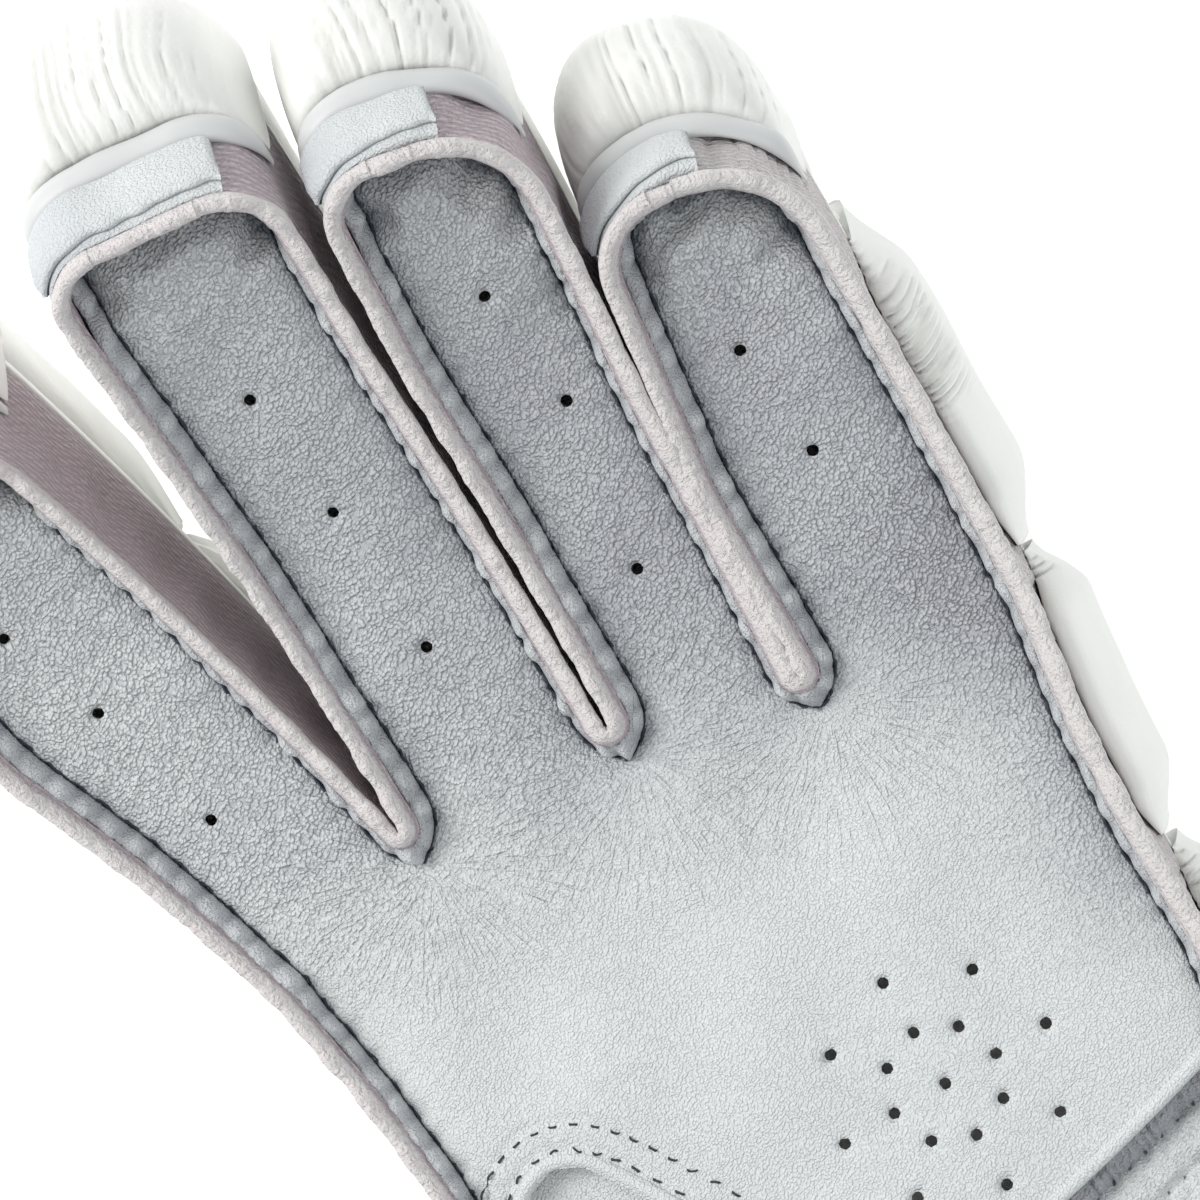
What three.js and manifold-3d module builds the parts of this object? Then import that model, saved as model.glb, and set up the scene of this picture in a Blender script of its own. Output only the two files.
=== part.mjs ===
// Cricket batting glove for the left hand, lying on its back with the palm up.
// The glove is laid out flat, then every point is bent so that the fingers curl up
// towards the palm. Flat coordinates are [x, s, h] in millimetres: x runs towards
// the little finger, s along the fingers, h up from the table through the hand.

import * as THREE from 'three';
import Module from 'manifold-3d';

const wasm = await Module();
wasm.setup();

// Curl of the fingers
const CURL_RADIUS = 145;
const CURL_START = -5;
const CURL_LEVEL = 47;

// Where the frame's origin lies in the flat layout, under the middle of the hand's back
const ORIGIN_X = 15;
const ORIGIN_S = -26;

// Stack of the hand from the table up
const ROLL_DEPTH = 20;
const GAP = 0.3;
const BACK_WALL = 2;
const HAND_ROOM = 23.4;
const PALM_WALL = 1.2;
const FLANGE_HEIGHT = 3.3;
const CLOTH_ABOVE_FLANGE = 1.5;
const GUSSET_WALL = 1.4;
// Least share by which a corner may shorten an offset before it is lengthened to fit
const SEAM_MITRE = 0.6;
const SHEET_MITRE = 0.75;
const PILLOW = 1.3;
const CROTCH_POINT = 2.4;

const BACK_BOTTOM = ROLL_DEPTH + GAP;
const BACK_TOP = BACK_BOTTOM + BACK_WALL;
const PALM_BOTTOM = BACK_TOP + GAP + HAND_ROOM;
const PALM_TOP = PALM_BOTTOM + PALM_WALL;
const RIDGE_TOP = PALM_TOP + FLANGE_HEIGHT + CLOTH_ABOVE_FLANGE;
const LEATHER_INSET = GUSSET_WALL / 2 + GAP + PALM_WALL;
const UNDER_PALM = PALM_BOTTOM - GAP;

// Wrist and cuff
const WRIST_S = -97;
const CUFF_LENGTH = 50;
const CUFF_WALL = 3;
const CUFF_FRONT_HEIGHT = 32;
const CUFF_END_HEIGHT = 46;
const CUFF_CENTRE_H = 32;
const CUFF_END_DROP = 4;
const CUFF_FRONT_WIDTH = 84;
const CUFF_END_WIDTH = 90;
const CUFF_CENTRE_X = 4.5;
const BINDING_WIDTH = 6;
const BINDING_STANDOFF = 1.2;
const STRAP_WIDTH = 28;
const STRAP_WALL = 2;
const STRAP_SETBACK = 9;
const STRAP_TURN = { from: -0.3, to: 0.38 };
const STRAP_STEPS = 16;
const CUFF_SIDES = 24;
const CUFF_SQUARENESS = 0.62;
const CUFF_BEND = 0.35;

// Rows of the finger outlines
const SIDE_STEPS = 7;
const CORNER_STEPS = 3;
const TIP_COLUMNS = 4;
const CROTCH_STEPS = 4;
const PALM_ROWS = 6;
const BACK_ROWS = 6;
const ROWS = SIDE_STEPS + CORNER_STEPS;

// Seam line of each finger along the middle of its side wall. Each side runs from the
// crotch or knuckle to the corner of the fingertip, as [x, s], and each tip corner is
// rounded with its own radius.
const FINGERS = [
  {
    name: 'index',
    left: [[-48.6, -5], [-54.8, 14.6], [-62.9, 36], [-69.2, 70.5]],
    right: [[-27.4, 5.9], [-34.8, 39.2], [-43.2, 76.5]],
    leftCorner: 9,
    rightCorner: 8,
  },
  {
    name: 'middle',
    left: [[-24.9, 5.9], [-25.1, 45], [-25.3, 89.4]],
    right: [[0.2, 4.6], [0.6, 60], [2, 86.2]],
    leftCorner: 6,
    rightCorner: 8,
  },
  {
    name: 'ring',
    left: [[3.4, 4.6], [4.5, 55], [7, 81.2]],
    right: [[23.2, -1.6], [25, 37], [29, 76.4]],
    leftCorner: 6,
    rightCorner: 12,
  },
  {
    name: 'little',
    left: [[26, -1.6], [26.2, 23], [31, 58.4]],
    right: [[52.1, -7], [52.9, 30], [53.6, 56.2]],
    leftCorner: 8,
    rightCorner: 13,
  },
];

// Outer seams of the palm below the fingers, as [x, s]
const RADIAL_SEAM = [[-48.6, -5], [-47.8, -9], [-45.6, -20], [-43.8, -34], [-43.4, -42.5]];
const ULNAR_SEAM = [
  [52.1, -7], [51.6, -11], [50, -23], [49.5, -36], [50.1, -52], [49, -72], [46.5, WRIST_S],
];
const WRIST_RADIAL_X = -37;

// Thumb, lying out to the side of the palm
const THUMB = {
  upper: [[-46.2, -42.9], [-60, -36.6], [-76, -29.6], [-97.5, -21.5]],
  lower: [[WRIST_RADIAL_X, WRIST_S], [-43.5, -84.5], [-62, -69], [-82, -58.5], [-107, -47.5]],
  upperCorner: 12,
  lowerCorner: 13,
};

// Lower edge of the palm leather: one row for each column of the palm, as [x, s].
// It dips round the arch that the thumb's leather comes out of, then runs to the heel.
const PALM_HEM = [
  [-41.6, -43.6], [-39.4, -45.6], [-37.9, -43.2], [-34.9, -40], [-31.2, -38.6], [-27.6, -40.2],
  [-24, -45.6], [-18.5, -54.5], [-12.5, -64.5], [-5.5, -77.6], [4, -75.6], [12, -73.4],
  [20, -71.2], [28, -69], [35, -67], [41.5, -65], [46.6, -63.4],
];
const HEM_UNDERLAP = 6;
const ARCH_CORNER_SHIFT = [-1, 2.4];
const THUMB_HEEL_X = [1, -12, -22, -30, -35];
const THUMB_SEAM_GAP = 0.5;
const HEEL_WALL = 3;
const HEEL_COLUMNS = 4;
const HEEL_SIDE_GAP = 0.4;
const HEEL_CORNER_SHIFT = 1.5;
const HEEL_FOOT_X = 45.4;

// Perforations of the palm and fingers
const HOLE_RADIUS = 0.7;
const HOLE_SIDES = 5;
const HOLE_RINGS = [{ radius: 0, count: 1 }, { radius: 7.1, count: 8 }, { radius: 14, count: 8 }];
const HOLE_CENTRE = [15.1, -52.6];
const HOLE_TURN = 0.03;
const HOLE_CLEARANCE = 1;
const FINGER_HOLES = [
  [-54.3, 50.5], [-49.9, 36.6], [-45.5, 18.2],
  [-13.7, 60.7], [-13, 43.3], [-12.1, 23.4],
  [16.2, 57.1], [17.6, 40.7], [14.2, 18.7],
  [38.1, 35.3], [39.3, 20.5],
];

// Padded rolls. A profile row gives a ring: its place along the roll from 0 to 1,
// and its width and depth there as shares of the full ones.
const ROLL_PROFILE = [
  { along: 0, width: 0.8, depth: 0.5 },
  { along: 0.07, width: 0.95, depth: 0.84 },
  { along: 0.22, width: 1, depth: 1 },
  { along: 0.38, width: 1, depth: 1 },
  { along: 0.56, width: 1, depth: 1 },
  { along: 0.78, width: 1, depth: 1 },
  { along: 0.93, width: 0.95, depth: 0.84 },
  { along: 1, width: 0.8, depth: 0.5 },
];
// Half of a roll's cross-section: side is the share of its half width, down the share
// of its depth
const ROLL_SECTION = [
  { side: 0.9, down: 0 },
  { side: 1, down: 0.3 },
  { side: 0.96, down: 0.68 },
  { side: 0.62, down: 1 },
];
const ROLL_SIDE_GAP = 0.5;
const ROLL_EDGE = 0.4;
const ROLL_JOINT = 1.4;
// Joint between the two rolls of each finger, in rows of the finger's outline
const FINGER_JOINT_ROW = [3.9, 3.9, 3.9, 5.8];
const FINGER_JOINT_GAP = 0.12;
const FINGER_ROLL_START = [0.35, 0.12, 0.15, 0.72];
const ULNAR_OVERHANG = 4.6;
// Leather that swells up the side wall from the rolls below the little finger's tip:
// millimetres away from the wall and above the swelling's foot
const SIDE_SWELL = [
  { away: 0, up: 0 }, { away: 0, up: 25 }, { away: 1, up: 28 }, { away: 3.2, up: 25.5 },
  { away: 4.7, up: 17 }, { away: 4.7, up: 0 },
];
const SIDE_SWELL_FOOT = 16;
const SIDE_SWELL_STEP = 4;
const SIDE_SWELL_RAMP = 3;
const SIDE_SWELL_END_SHARE = 0.3;
// Where the back of the hand meets the finger rolls, one row for each column's edge
const KNUCKLES = [{ s: -9 }, { s: 2.2 }, { s: 1.2 }, { s: -5 }, { s: -4.2 }];
const HAND_ROLL_LINES = [-42, WRIST_S + 2];
const THUMB_ROLLS = [
  { name: 'thumb_roll_proximal', from: 0.7, to: 4.4 },
  { name: 'thumb_roll_distal', from: 4.55, to: 10 },
];

// Gathered end of each finger roll, wrapped up round the fingertip
const TIP_WRAP_OUT = 6.5;
const TIP_WRAP_TOP = 33;
const TIP_WRAP_CREST = 33.4;
const TIP_WRAP_BOTTOM = 5;
const TIP_TUCK = 3;
const TIP_TUCK_HEIGHT = 6;
const TIP_SEAT_HEIGHT = 17;
// Outer face of the gathered end from the band down: out is the share of the full swell
const TIP_WRAP_FACE = [
  { out: 0.45, h: TIP_WRAP_CREST },
  { out: 0.9, h: 28.5 },
  { out: 1, h: 21 },
  { out: 0.7, h: 11 },
];
const PLEAT_DEPTH = 0.16;
const WRAP_RAMP = 6;
const WRAP_END_SHARE = 0.06;
const BAND_HEIGHT = 4.6;
const BAND_WALL = 1.5;
const STRAP_TIP_HEIGHT = 11;
const STRAP_TIP_WALL = 2;

const MATERIALS = {
  palmLeather: leather('palm_leather', 0xdfe4e6, 0.62),
  cloth: leather('gusset_cloth', 0xd3c4c8, 0.92),
  rollLeather: leather('roll_leather', 0xf4f3ec, 0.45),
  backLeather: leather('back_leather', 0xf2f2ee, 0.5),
  strapLeather: leather('strap_leather', 0xe3e6e6, 0.6),
  towelling: leather('cuff_towelling', 0xe9eaea, 0.95),
  webbing: leather('closure_webbing', 0xf0f0ee, 0.8),
};

function leather(name, color, roughness) {
  const material = new THREE.MeshStandardMaterial({ color, roughness, metalness: 0 });
  material.name = name;
  return material;
}

// Bends a flat point about the curl's axis, which lies above the palm
function bend([x, s, h]) {
  if (s <= CURL_START) return [x - ORIGIN_X, s - ORIGIN_S, h];
  const angle = (s - CURL_START) / CURL_RADIUS;
  const radius = CURL_RADIUS - (h - CURL_LEVEL);
  const y = CURL_START + radius * Math.sin(angle);
  return [x - ORIGIN_X, y - ORIGIN_S, CURL_LEVEL + CURL_RADIUS - radius * Math.cos(angle)];
}

function lerp(a, b, t) {
  return a.map((value, i) => value + (b[i] - value) * t);
}

function distance(a, b) {
  return Math.hypot(a[0] - b[0], a[1] - b[1]);
}

// Point at a share of a polyline's length
function alongLine(line, share) {
  const lengths = line.slice(1).map((p, i) => distance(line[i], p));
  let left = share * lengths.reduce((sum, length) => sum + length, 0);
  for (let i = 0; i < lengths.length; i++) {
    if (left <= lengths[i] || i === lengths.length - 1) {
      return lerp(line[i], line[i + 1], Math.min(1, left / lengths[i]));
    }
    left -= lengths[i];
  }
  return line[0];
}

// Steps a side line to the start of its rounded corner, then round the corner towards
// the next point. Returns the side's rows and the corner's end.
function sideRows(line, next, radius, sideSteps, cornerSteps) {
  const corner = line[line.length - 1];
  const before = line[line.length - 2];
  const inward = new THREE.Vector2(before[0] - corner[0], before[1] - corner[1]).normalize();
  const outward = new THREE.Vector2(next[0] - corner[0], next[1] - corner[1]).normalize();
  const half = Math.acos(inward.dot(outward)) / 2;
  const reach = radius / Math.tan(half);
  const start = [corner[0] + inward.x * reach, corner[1] + inward.y * reach];
  const end = [corner[0] + outward.x * reach, corner[1] + outward.y * reach];
  const middle = inward.clone().add(outward).normalize().multiplyScalar(radius / Math.sin(half));
  const centre = [corner[0] + middle.x, corner[1] + middle.y];
  const rows = [];
  const straight = [...line.slice(0, -1), start];
  for (let i = 0; i <= sideSteps; i++) rows.push(alongLine(straight, i / sideSteps));
  const from = Math.atan2(start[1] - centre[1], start[0] - centre[0]);
  let turn = Math.atan2(end[1] - centre[1], end[0] - centre[0]) - from;
  if (turn > Math.PI) turn -= 2 * Math.PI;
  if (turn < -Math.PI) turn += 2 * Math.PI;
  for (let i = 1; i <= cornerSteps; i++) {
    const angle = from + (turn * i) / cornerSteps;
    rows.push([centre[0] + radius * Math.cos(angle), centre[1] + radius * Math.sin(angle)]);
  }
  return rows;
}

// Points between the two ends of a rounded tip, leaving out the ends
function between(a, b, count) {
  return Array.from({ length: count - 1 }, (_, i) => lerp(a, b, (i + 1) / count));
}

// Half circle that joins the side walls of two fingers at their crotch
function crotchArc(a, b) {
  const centre = lerp(a, b, 0.5);
  const start = Math.atan2(a[1] - centre[1], a[0] - centre[0]);
  const radius = distance(a, b) / 2;
  return Array.from({ length: CROTCH_STEPS - 1 }, (_, i) => {
    const angle = start + (Math.PI * (i + 1)) / CROTCH_STEPS;
    return [centre[0] + radius * Math.cos(angle), centre[1] + radius * Math.sin(angle)];
  });
}

const fingers = FINGERS.map((finger) => {
  const leftTip = finger.left[finger.left.length - 1];
  const rightTip = finger.right[finger.right.length - 1];
  const left = sideRows(finger.left, rightTip, finger.leftCorner, SIDE_STEPS, CORNER_STEPS);
  const right = sideRows(finger.right, leftTip, finger.rightCorner, SIDE_STEPS, CORNER_STEPS);
  return { ...finger, left, right, tip: between(left[ROWS], right[ROWS], TIP_COLUMNS) };
});
const thumbUpperTip = THUMB.upper[THUMB.upper.length - 1];
const thumbLowerTip = THUMB.lower[THUMB.lower.length - 1];
const thumbUpper = sideRows(THUMB.upper, thumbLowerTip, THUMB.upperCorner, SIDE_STEPS, CORNER_STEPS);
const thumbLower = sideRows(THUMB.lower, thumbUpperTip, THUMB.lowerCorner, SIDE_STEPS, CORNER_STEPS);
const thumbTip = between(thumbLower[ROWS], thumbUpper[ROWS], TIP_COLUMNS);

// The whole seam, clockwise from the wrist below the thumb to the wrist below the little
// finger. Each point knows its place, and marks name where a piece starts or ends.
const seam = [];
const marks = {};
function addSeam(points) {
  for (const point of points) seam.push({ at: point });
}
function mark(name) {
  marks[name] = seam.length - 1;
}
addSeam(thumbLower);
mark('thumb_tip_start');
addSeam(thumbTip);
addSeam([...thumbUpper].reverse());
mark('thumb_crotch');
const radialFoot = RADIAL_SEAM[RADIAL_SEAM.length - 1];
const thumbCrotch = crotchArc(thumbUpper[0], radialFoot);
addSeam(thumbCrotch);
addSeam([radialFoot]);
mark('index_side_start');
addSeam([...RADIAL_SEAM].reverse().slice(1, -1));
fingers.forEach((finger, i) => {
  addSeam(finger.left);
  mark(`${finger.name}_left_corner`);
  addSeam(finger.tip);
  addSeam([finger.right[ROWS]]);
  mark(`${finger.name}_right_corner`);
  addSeam([...finger.right.slice(0, ROWS)].reverse());
  if (i < fingers.length - 1) addSeam(crotchArc(finger.right[0], fingers[i + 1].left[0]));
});
addSeam(ULNAR_SEAM.slice(1));

// Outward direction of the seam at each point, lengthened at bends so that an offset
// keeps its distance from both sides
seam.forEach((point, i) => {
  const before = seam[Math.max(0, i - 1)].at;
  const after = seam[Math.min(seam.length - 1, i + 1)].at;
  const directions = [[before, point.at], [point.at, after]].filter(([a, b]) => distance(a, b) > 0);
  const normals = directions.map(([a, b]) => {
    const length = distance(a, b);
    return [-(b[1] - a[1]) / length, (b[0] - a[0]) / length];
  });
  const sum = normals.reduce((total, n) => [total[0] + n[0], total[1] + n[1]], [0, 0]);
  const size = Math.hypot(sum[0], sum[1]);
  const unit = [sum[0] / size, sum[1] / size];
  const stretch = 1 / Math.max(SEAM_MITRE, unit[0] * normals[0][0] + unit[1] * normals[0][1]);
  point.out = [unit[0] * stretch, unit[1] * stretch];
});

const seamByPlace = new Map(seam.map((point) => [point.at.join(), point]));
function offset(at, out) {
  const point = seamByPlace.get(at.join());
  return [at[0] + point.out[0] * out, at[1] + point.out[1] * out];
}

// Closed mesh from flat points and triangles, bent and turned to face outwards
function makeSolid(points, triangles) {
  const bent = points.map(bend);
  let volume = 0;
  for (const [a, b, c] of triangles) {
    const [p, q, r] = [bent[a], bent[b], bent[c]];
    volume += p[0] * (q[1] * r[2] - q[2] * r[1]);
    volume += p[1] * (q[2] * r[0] - q[0] * r[2]);
    volume += p[2] * (q[0] * r[1] - q[1] * r[0]);
  }
  const facing = volume > 0 ? triangles : triangles.map(([a, b, c]) => [a, c, b]);
  const vertProperties = new Float32Array(bent.flat());
  const triVerts = new Uint32Array(facing.flat());
  return new wasm.Manifold(new wasm.Mesh({ numProp: 3, vertProperties, triVerts }));
}

const glove = new THREE.Group();
glove.name = 'batting_glove';

function addPiece(name, solid, material) {
  const mesh = solid.getMesh();
  const geometry = new THREE.BufferGeometry();
  geometry.setAttribute('position', new THREE.BufferAttribute(mesh.vertProperties, 3));
  geometry.setIndex(new THREE.BufferAttribute(mesh.triVerts, 1));
  geometry.computeVertexNormals();
  const piece = new THREE.Mesh(geometry, material);
  piece.name = name;
  glove.add(piece);
}

// Solid through a row of rings, each with the same number of points. The ends are closed
// with fans unless the row closes on itself.
function loft(rings, closed = false) {
  const count = rings[0].length;
  const points = rings.flat();
  const triangles = [];
  const last = closed ? rings.length : rings.length - 1;
  for (let i = 0; i < last; i++) {
    for (let j = 0; j < count; j++) {
      const a = i * count + j;
      const b = i * count + ((j + 1) % count);
      const c = (((i + 1) % rings.length) * count) + j;
      const d = (((i + 1) % rings.length) * count) + ((j + 1) % count);
      triangles.push([a, b, d], [a, d, c]);
    }
  }
  if (!closed) {
    const end = (rings.length - 1) * count;
    for (let j = 1; j < count - 1; j++) {
      triangles.push([0, j + 1, j]);
      triangles.push([end, end + j, end + j + 1]);
    }
  }
  return makeSolid(points, triangles);
}

// Wall that stands along part of the seam. The profile lists [outward, height] pairs.
function seamWall(from, to, profile) {
  const rings = [];
  for (let i = from; i <= to; i++) {
    rings.push(profile.map(([out, h]) => [...offset(seam[i].at, out), h]));
  }
  return rings;
}

// Shortens a wall at both ends by half a gap
function pullApart(rings) {
  const trim = (ring, next) => ring.map((point, i) => {
    const span = distance(point, next[i]);
    return lerp(point, next[i], GAP / 2 / span);
  });
  const first = trim(rings[0], rings[1]);
  const last = trim(rings[rings.length - 1], rings[rings.length - 2]);
  return [first, ...rings.slice(1, -1), last];
}

// Leather sheet from a grid of flat top points. Its seamed edges turn up into a flange
// of the given height, and a height of 0 leaves the edge plain.
function sheet(top, faces, wall, flange) {
  const uses = new Map();
  for (const face of faces) {
    face.forEach((a, i) => {
      const b = face[(i + 1) % face.length];
      if (a !== b) uses.set(`${a},${b}`, [a, b]);
    });
  }
  const next = new Map();
  for (const [a, b] of uses.values()) if (!uses.has(`${b},${a}`)) next.set(a, b);
  const loop = [];
  let at = next.keys().next().value;
  do {
    loop.push(at);
    at = next.get(at);
  } while (at !== loop[0]);
  const points = top.map((p) => [...p]);
  const bottom = top.map(([x, s, h]) => points.push([x, s, h - wall]) - 1);
  const inner = new Map();
  const outer = new Map();
  loop.forEach((vertex, i) => {
    const height = flange(vertex);
    if (height === 0) {
      inner.set(vertex, vertex);
      outer.set(vertex, bottom[vertex]);
      return;
    }
    const [x, s, h] = top[vertex];
    const a = top[loop[(i + loop.length - 1) % loop.length]];
    const b = top[loop[(i + 1) % loop.length]];
    const n1 = new THREE.Vector2(s - a[1], a[0] - x).normalize();
    const n2 = new THREE.Vector2(b[1] - s, x - b[0]).normalize();
    const out = n1.clone().add(n2).normalize();
    out.multiplyScalar(wall / Math.max(SHEET_MITRE, out.dot(n1)));
    inner.set(vertex, points.push([x, s, h + height]) - 1);
    outer.set(vertex, points.push([x + out.x, s + out.y, h + height]) - 1);
    points[bottom[vertex]] = [x + out.x, s + out.y, h - wall];
  });
  const triangles = [];
  const addFace = (...ring) => {
    for (let i = 1; i < ring.length - 1; i++) {
      const triangle = [ring[0], ring[i], ring[i + 1]];
      if (new Set(triangle).size === 3) triangles.push(triangle);
    }
  };
  for (const face of faces) {
    addFace(...face);
    addFace(...face.map((vertex) => bottom[vertex]).reverse());
  }
  loop.forEach((a, i) => {
    const b = loop[(i + 1) % loop.length];
    addFace(a, inner.get(a), inner.get(b), b);
    addFace(inner.get(a), outer.get(a), outer.get(b), inner.get(b));
    addFace(outer.get(a), bottom[a], bottom[b], outer.get(b));
  });
  return makeSolid(points, triangles);
}

// Grid of a hand-shaped sheet: four finger columns that share their crotch points with
// the palm's top row. inset is the sheet's distance inside the seam, crotchDrop how far
// below the wall's crotch the shared point lies.
function handGrid({ inset, crotchDrop, columns, palmRows, hem, radial, ulnar, height }) {
  const points = [];
  const edge = new Set();
  const faces = [];
  const add = ([x, s], onSeam) => {
    points.push([x, s]);
    if (onSeam) edge.add(points.length - 1);
    return points.length - 1;
  };
  const crotches = [0, 1, 2].map((i) => {
    const a = fingers[i].right[0];
    const b = fingers[i + 1].left[0];
    const centre = lerp(a, b, 0.5);
    return add([centre[0], centre[1] - distance(a, b) / 2 - crotchDrop], true);
  });
  const first = add(offset(RADIAL_SEAM[1], -inset), true);
  const final = add(offset(ULNAR_SEAM[1], -inset), true);
  const corners = [first, ...crotches, final];
  const topRow = [first];
  fingers.forEach((finger, f) => {
    let row = [corners[f]];
    for (let c = 1; c < columns; c++) {
      row.push(add(lerp(points[corners[f]], points[corners[f + 1]], c / columns), false));
    }
    row.push(corners[f + 1]);
    topRow.push(...row.slice(1));
    for (let r = 0; r <= ROWS; r++) {
      const left = offset(finger.left[r], -inset);
      const right = offset(finger.right[r], -inset);
      const upper = [add(left, true)];
      for (let c = 1; c < columns; c++) upper.push(add(lerp(left, right, c / columns), r === ROWS));
      upper.push(add(right, true));
      for (let c = 0; c < columns; c++) faces.push([row[c], row[c + 1], upper[c + 1], upper[c]]);
      row = upper;
    }
  });
  const wide = columns * fingers.length;
  const topLine = topRow.map((i) => points[i]);
  let row = topRow;
  for (let r = 1; r <= palmRows; r++) {
    const v = r / palmRows;
    const left = radial(v);
    const right = ulnar(v);
    const straightLeft = lerp(topLine[0], hem[0], v);
    const straightRight = lerp(topLine[wide], hem[wide], v);
    const lower = [];
    for (let c = 0; c <= wide; c++) {
      const u = c / wide;
      const [x, s] = lerp(topLine[c], hem[c], v);
      const shiftX = (1 - u) * (left[0] - straightLeft[0]) + u * (right[0] - straightRight[0]);
      const shiftS = (1 - u) * (left[1] - straightLeft[1]) + u * (right[1] - straightRight[1]);
      const onSeam = (c === 0 || c === wide) && r < palmRows;
      lower.push(add([x + shiftX, s + shiftS], onSeam));
    }
    for (let c = 0; c < wide; c++) faces.push([lower[c], lower[c + 1], row[c + 1], row[c]]);
    row = lower;
  }
  const top = points.map(([x, s], i) => [x, s, height(x, s, edge.has(i))]);
  return { top, faces, edge };
}

// Grid between two side lines with the same number of rows
function lobeGrid(leftLine, rightLine, columns, height) {
  const top = [];
  const faces = [];
  leftLine.forEach((left, r) => {
    for (let c = 0; c <= columns; c++) {
      const [x, s] = lerp(left, rightLine[r], c / columns);
      top.push([x, s, height(r, c)]);
    }
    if (r === 0) return;
    for (let c = 0; c < columns; c++) {
      const a = (r - 1) * (columns + 1) + c;
      const b = r * (columns + 1) + c;
      faces.push([a, a + 1, b + 1, b]);
    }
  });
  return { top, faces };
}

// Palm leather, one sheet over the palm and the fronts of the four fingers
const palmHeight = (x, s, onSeam) => PALM_TOP + (onSeam ? 0 : PILLOW);
const hemEnd = PALM_HEM[PALM_HEM.length - 1];
function insetLine(line, inset) {
  return line.map((at) => offset(at, -inset));
}
const palmRadial = insetLine(RADIAL_SEAM.slice(1), LEATHER_INSET);
const ulnarTop = ULNAR_SEAM.slice(1).filter((point) => point[1] > hemEnd[1]);
const palmUlnar = [...insetLine(ulnarTop, LEATHER_INSET), hemEnd];
palmRadial[palmRadial.length - 1] = PALM_HEM[0];
const palmGrid = handGrid({
  inset: LEATHER_INSET,
  crotchDrop: LEATHER_INSET + CROTCH_POINT,
  columns: TIP_COLUMNS,
  palmRows: PALM_ROWS,
  hem: PALM_HEM,
  radial: (v) => alongLine(palmRadial, v),
  ulnar: (v) => alongLine(palmUlnar, v),
  height: palmHeight,
});
const palmFlange = (vertex) => (palmGrid.edge.has(vertex) ? FLANGE_HEIGHT : 0);
let palm = sheet(palmGrid.top, palmGrid.faces, PALM_WALL, palmFlange);

function perforation([x, s]) {
  const ring = (h) => Array.from({ length: HOLE_SIDES }, (_, i) => {
    const angle = (2 * Math.PI * i) / HOLE_SIDES;
    return [x + HOLE_RADIUS * Math.cos(angle), s + HOLE_RADIUS * Math.sin(angle), h];
  });
  return loft([ring(PALM_BOTTOM - HOLE_CLEARANCE), ring(PALM_TOP + 2 * PILLOW + HOLE_CLEARANCE)]);
}
const palmHoles = HOLE_RINGS.flatMap(({ radius, count }) => Array.from({ length: count }, (_, i) => {
  const angle = 2 * Math.PI * (i / count) + HOLE_TURN;
  return [HOLE_CENTRE[0] + radius * Math.cos(angle), HOLE_CENTRE[1] + radius * Math.sin(angle)];
}));
for (const place of [...palmHoles, ...FINGER_HOLES]) palm = palm.subtract(perforation(place));
addPiece('palm_leather', palm, MATERIALS.palmLeather);

// Leather of the thumb and its mound, tucked under the arch in the palm
const thumbUnder = [
  [PALM_HEM[8][0] + HEM_UNDERLAP, PALM_HEM[8][1] + HEM_UNDERLAP / 2],
  [PALM_HEM[6][0] + HEM_UNDERLAP, PALM_HEM[6][1] + HEM_UNDERLAP / 2],
  [PALM_HEM[4][0], PALM_HEM[4][1] + HEM_UNDERLAP],
  [PALM_HEM[1][0] + ARCH_CORNER_SHIFT[0], PALM_HEM[1][1] + ARCH_CORNER_SHIFT[1]],
  offset(thumbCrotch[1], -LEATHER_INSET),
];
const thumbHeel = THUMB_HEEL_X.map((x) => [x, WRIST_S]);
const thumbUpperEdge = [...thumbUnder, ...insetLine(thumbUpper, LEATHER_INSET)];
const thumbLowerEdge = [...thumbHeel, ...insetLine(thumbLower, LEATHER_INSET)];
const thumbTopAt = (r, c) => {
  const inside = r > thumbUnder.length && r < thumbUpperEdge.length - 1 && c > 0 && c < TIP_COLUMNS;
  return UNDER_PALM + (inside ? PILLOW : 0);
};
const thumbGrid = lobeGrid(thumbLowerEdge, thumbUpperEdge, TIP_COLUMNS, thumbTopAt);
const thumbFlange = (vertex) => {
  const row = Math.floor(vertex / (TIP_COLUMNS + 1));
  return row > thumbUnder.length ? FLANGE_HEIGHT + GAP + PALM_WALL : 0;
};
const thumbSheet = sheet(thumbGrid.top, thumbGrid.faces, PALM_WALL, thumbFlange);
addPiece('thumb_leather', thumbSheet, MATERIALS.palmLeather);

// Padded heel panel, tucked under the palm's lower edge
const heelTop = [
  [PALM_HEM[9][0] + HEEL_CORNER_SHIFT, PALM_HEM[9][1] + HEM_UNDERLAP],
  [hemEnd[0], hemEnd[1] + HEM_UNDERLAP],
];
const heelFoot = [[THUMB_HEEL_X[0] + HEEL_SIDE_GAP, WRIST_S], [HEEL_FOOT_X, WRIST_S]];
const heelLeft = [heelFoot[0], lerp(heelFoot[0], heelTop[0], 0.5), heelTop[0]];
const heelRight = [heelFoot[1], lerp(heelFoot[1], heelTop[1], 0.5), heelTop[1]];
const heelGrid = lobeGrid(heelLeft, heelRight, HEEL_COLUMNS, () => UNDER_PALM);
addPiece('heel_panel', sheet(heelGrid.top, heelGrid.faces, HEEL_WALL, () => 0), MATERIALS.towelling);

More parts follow.
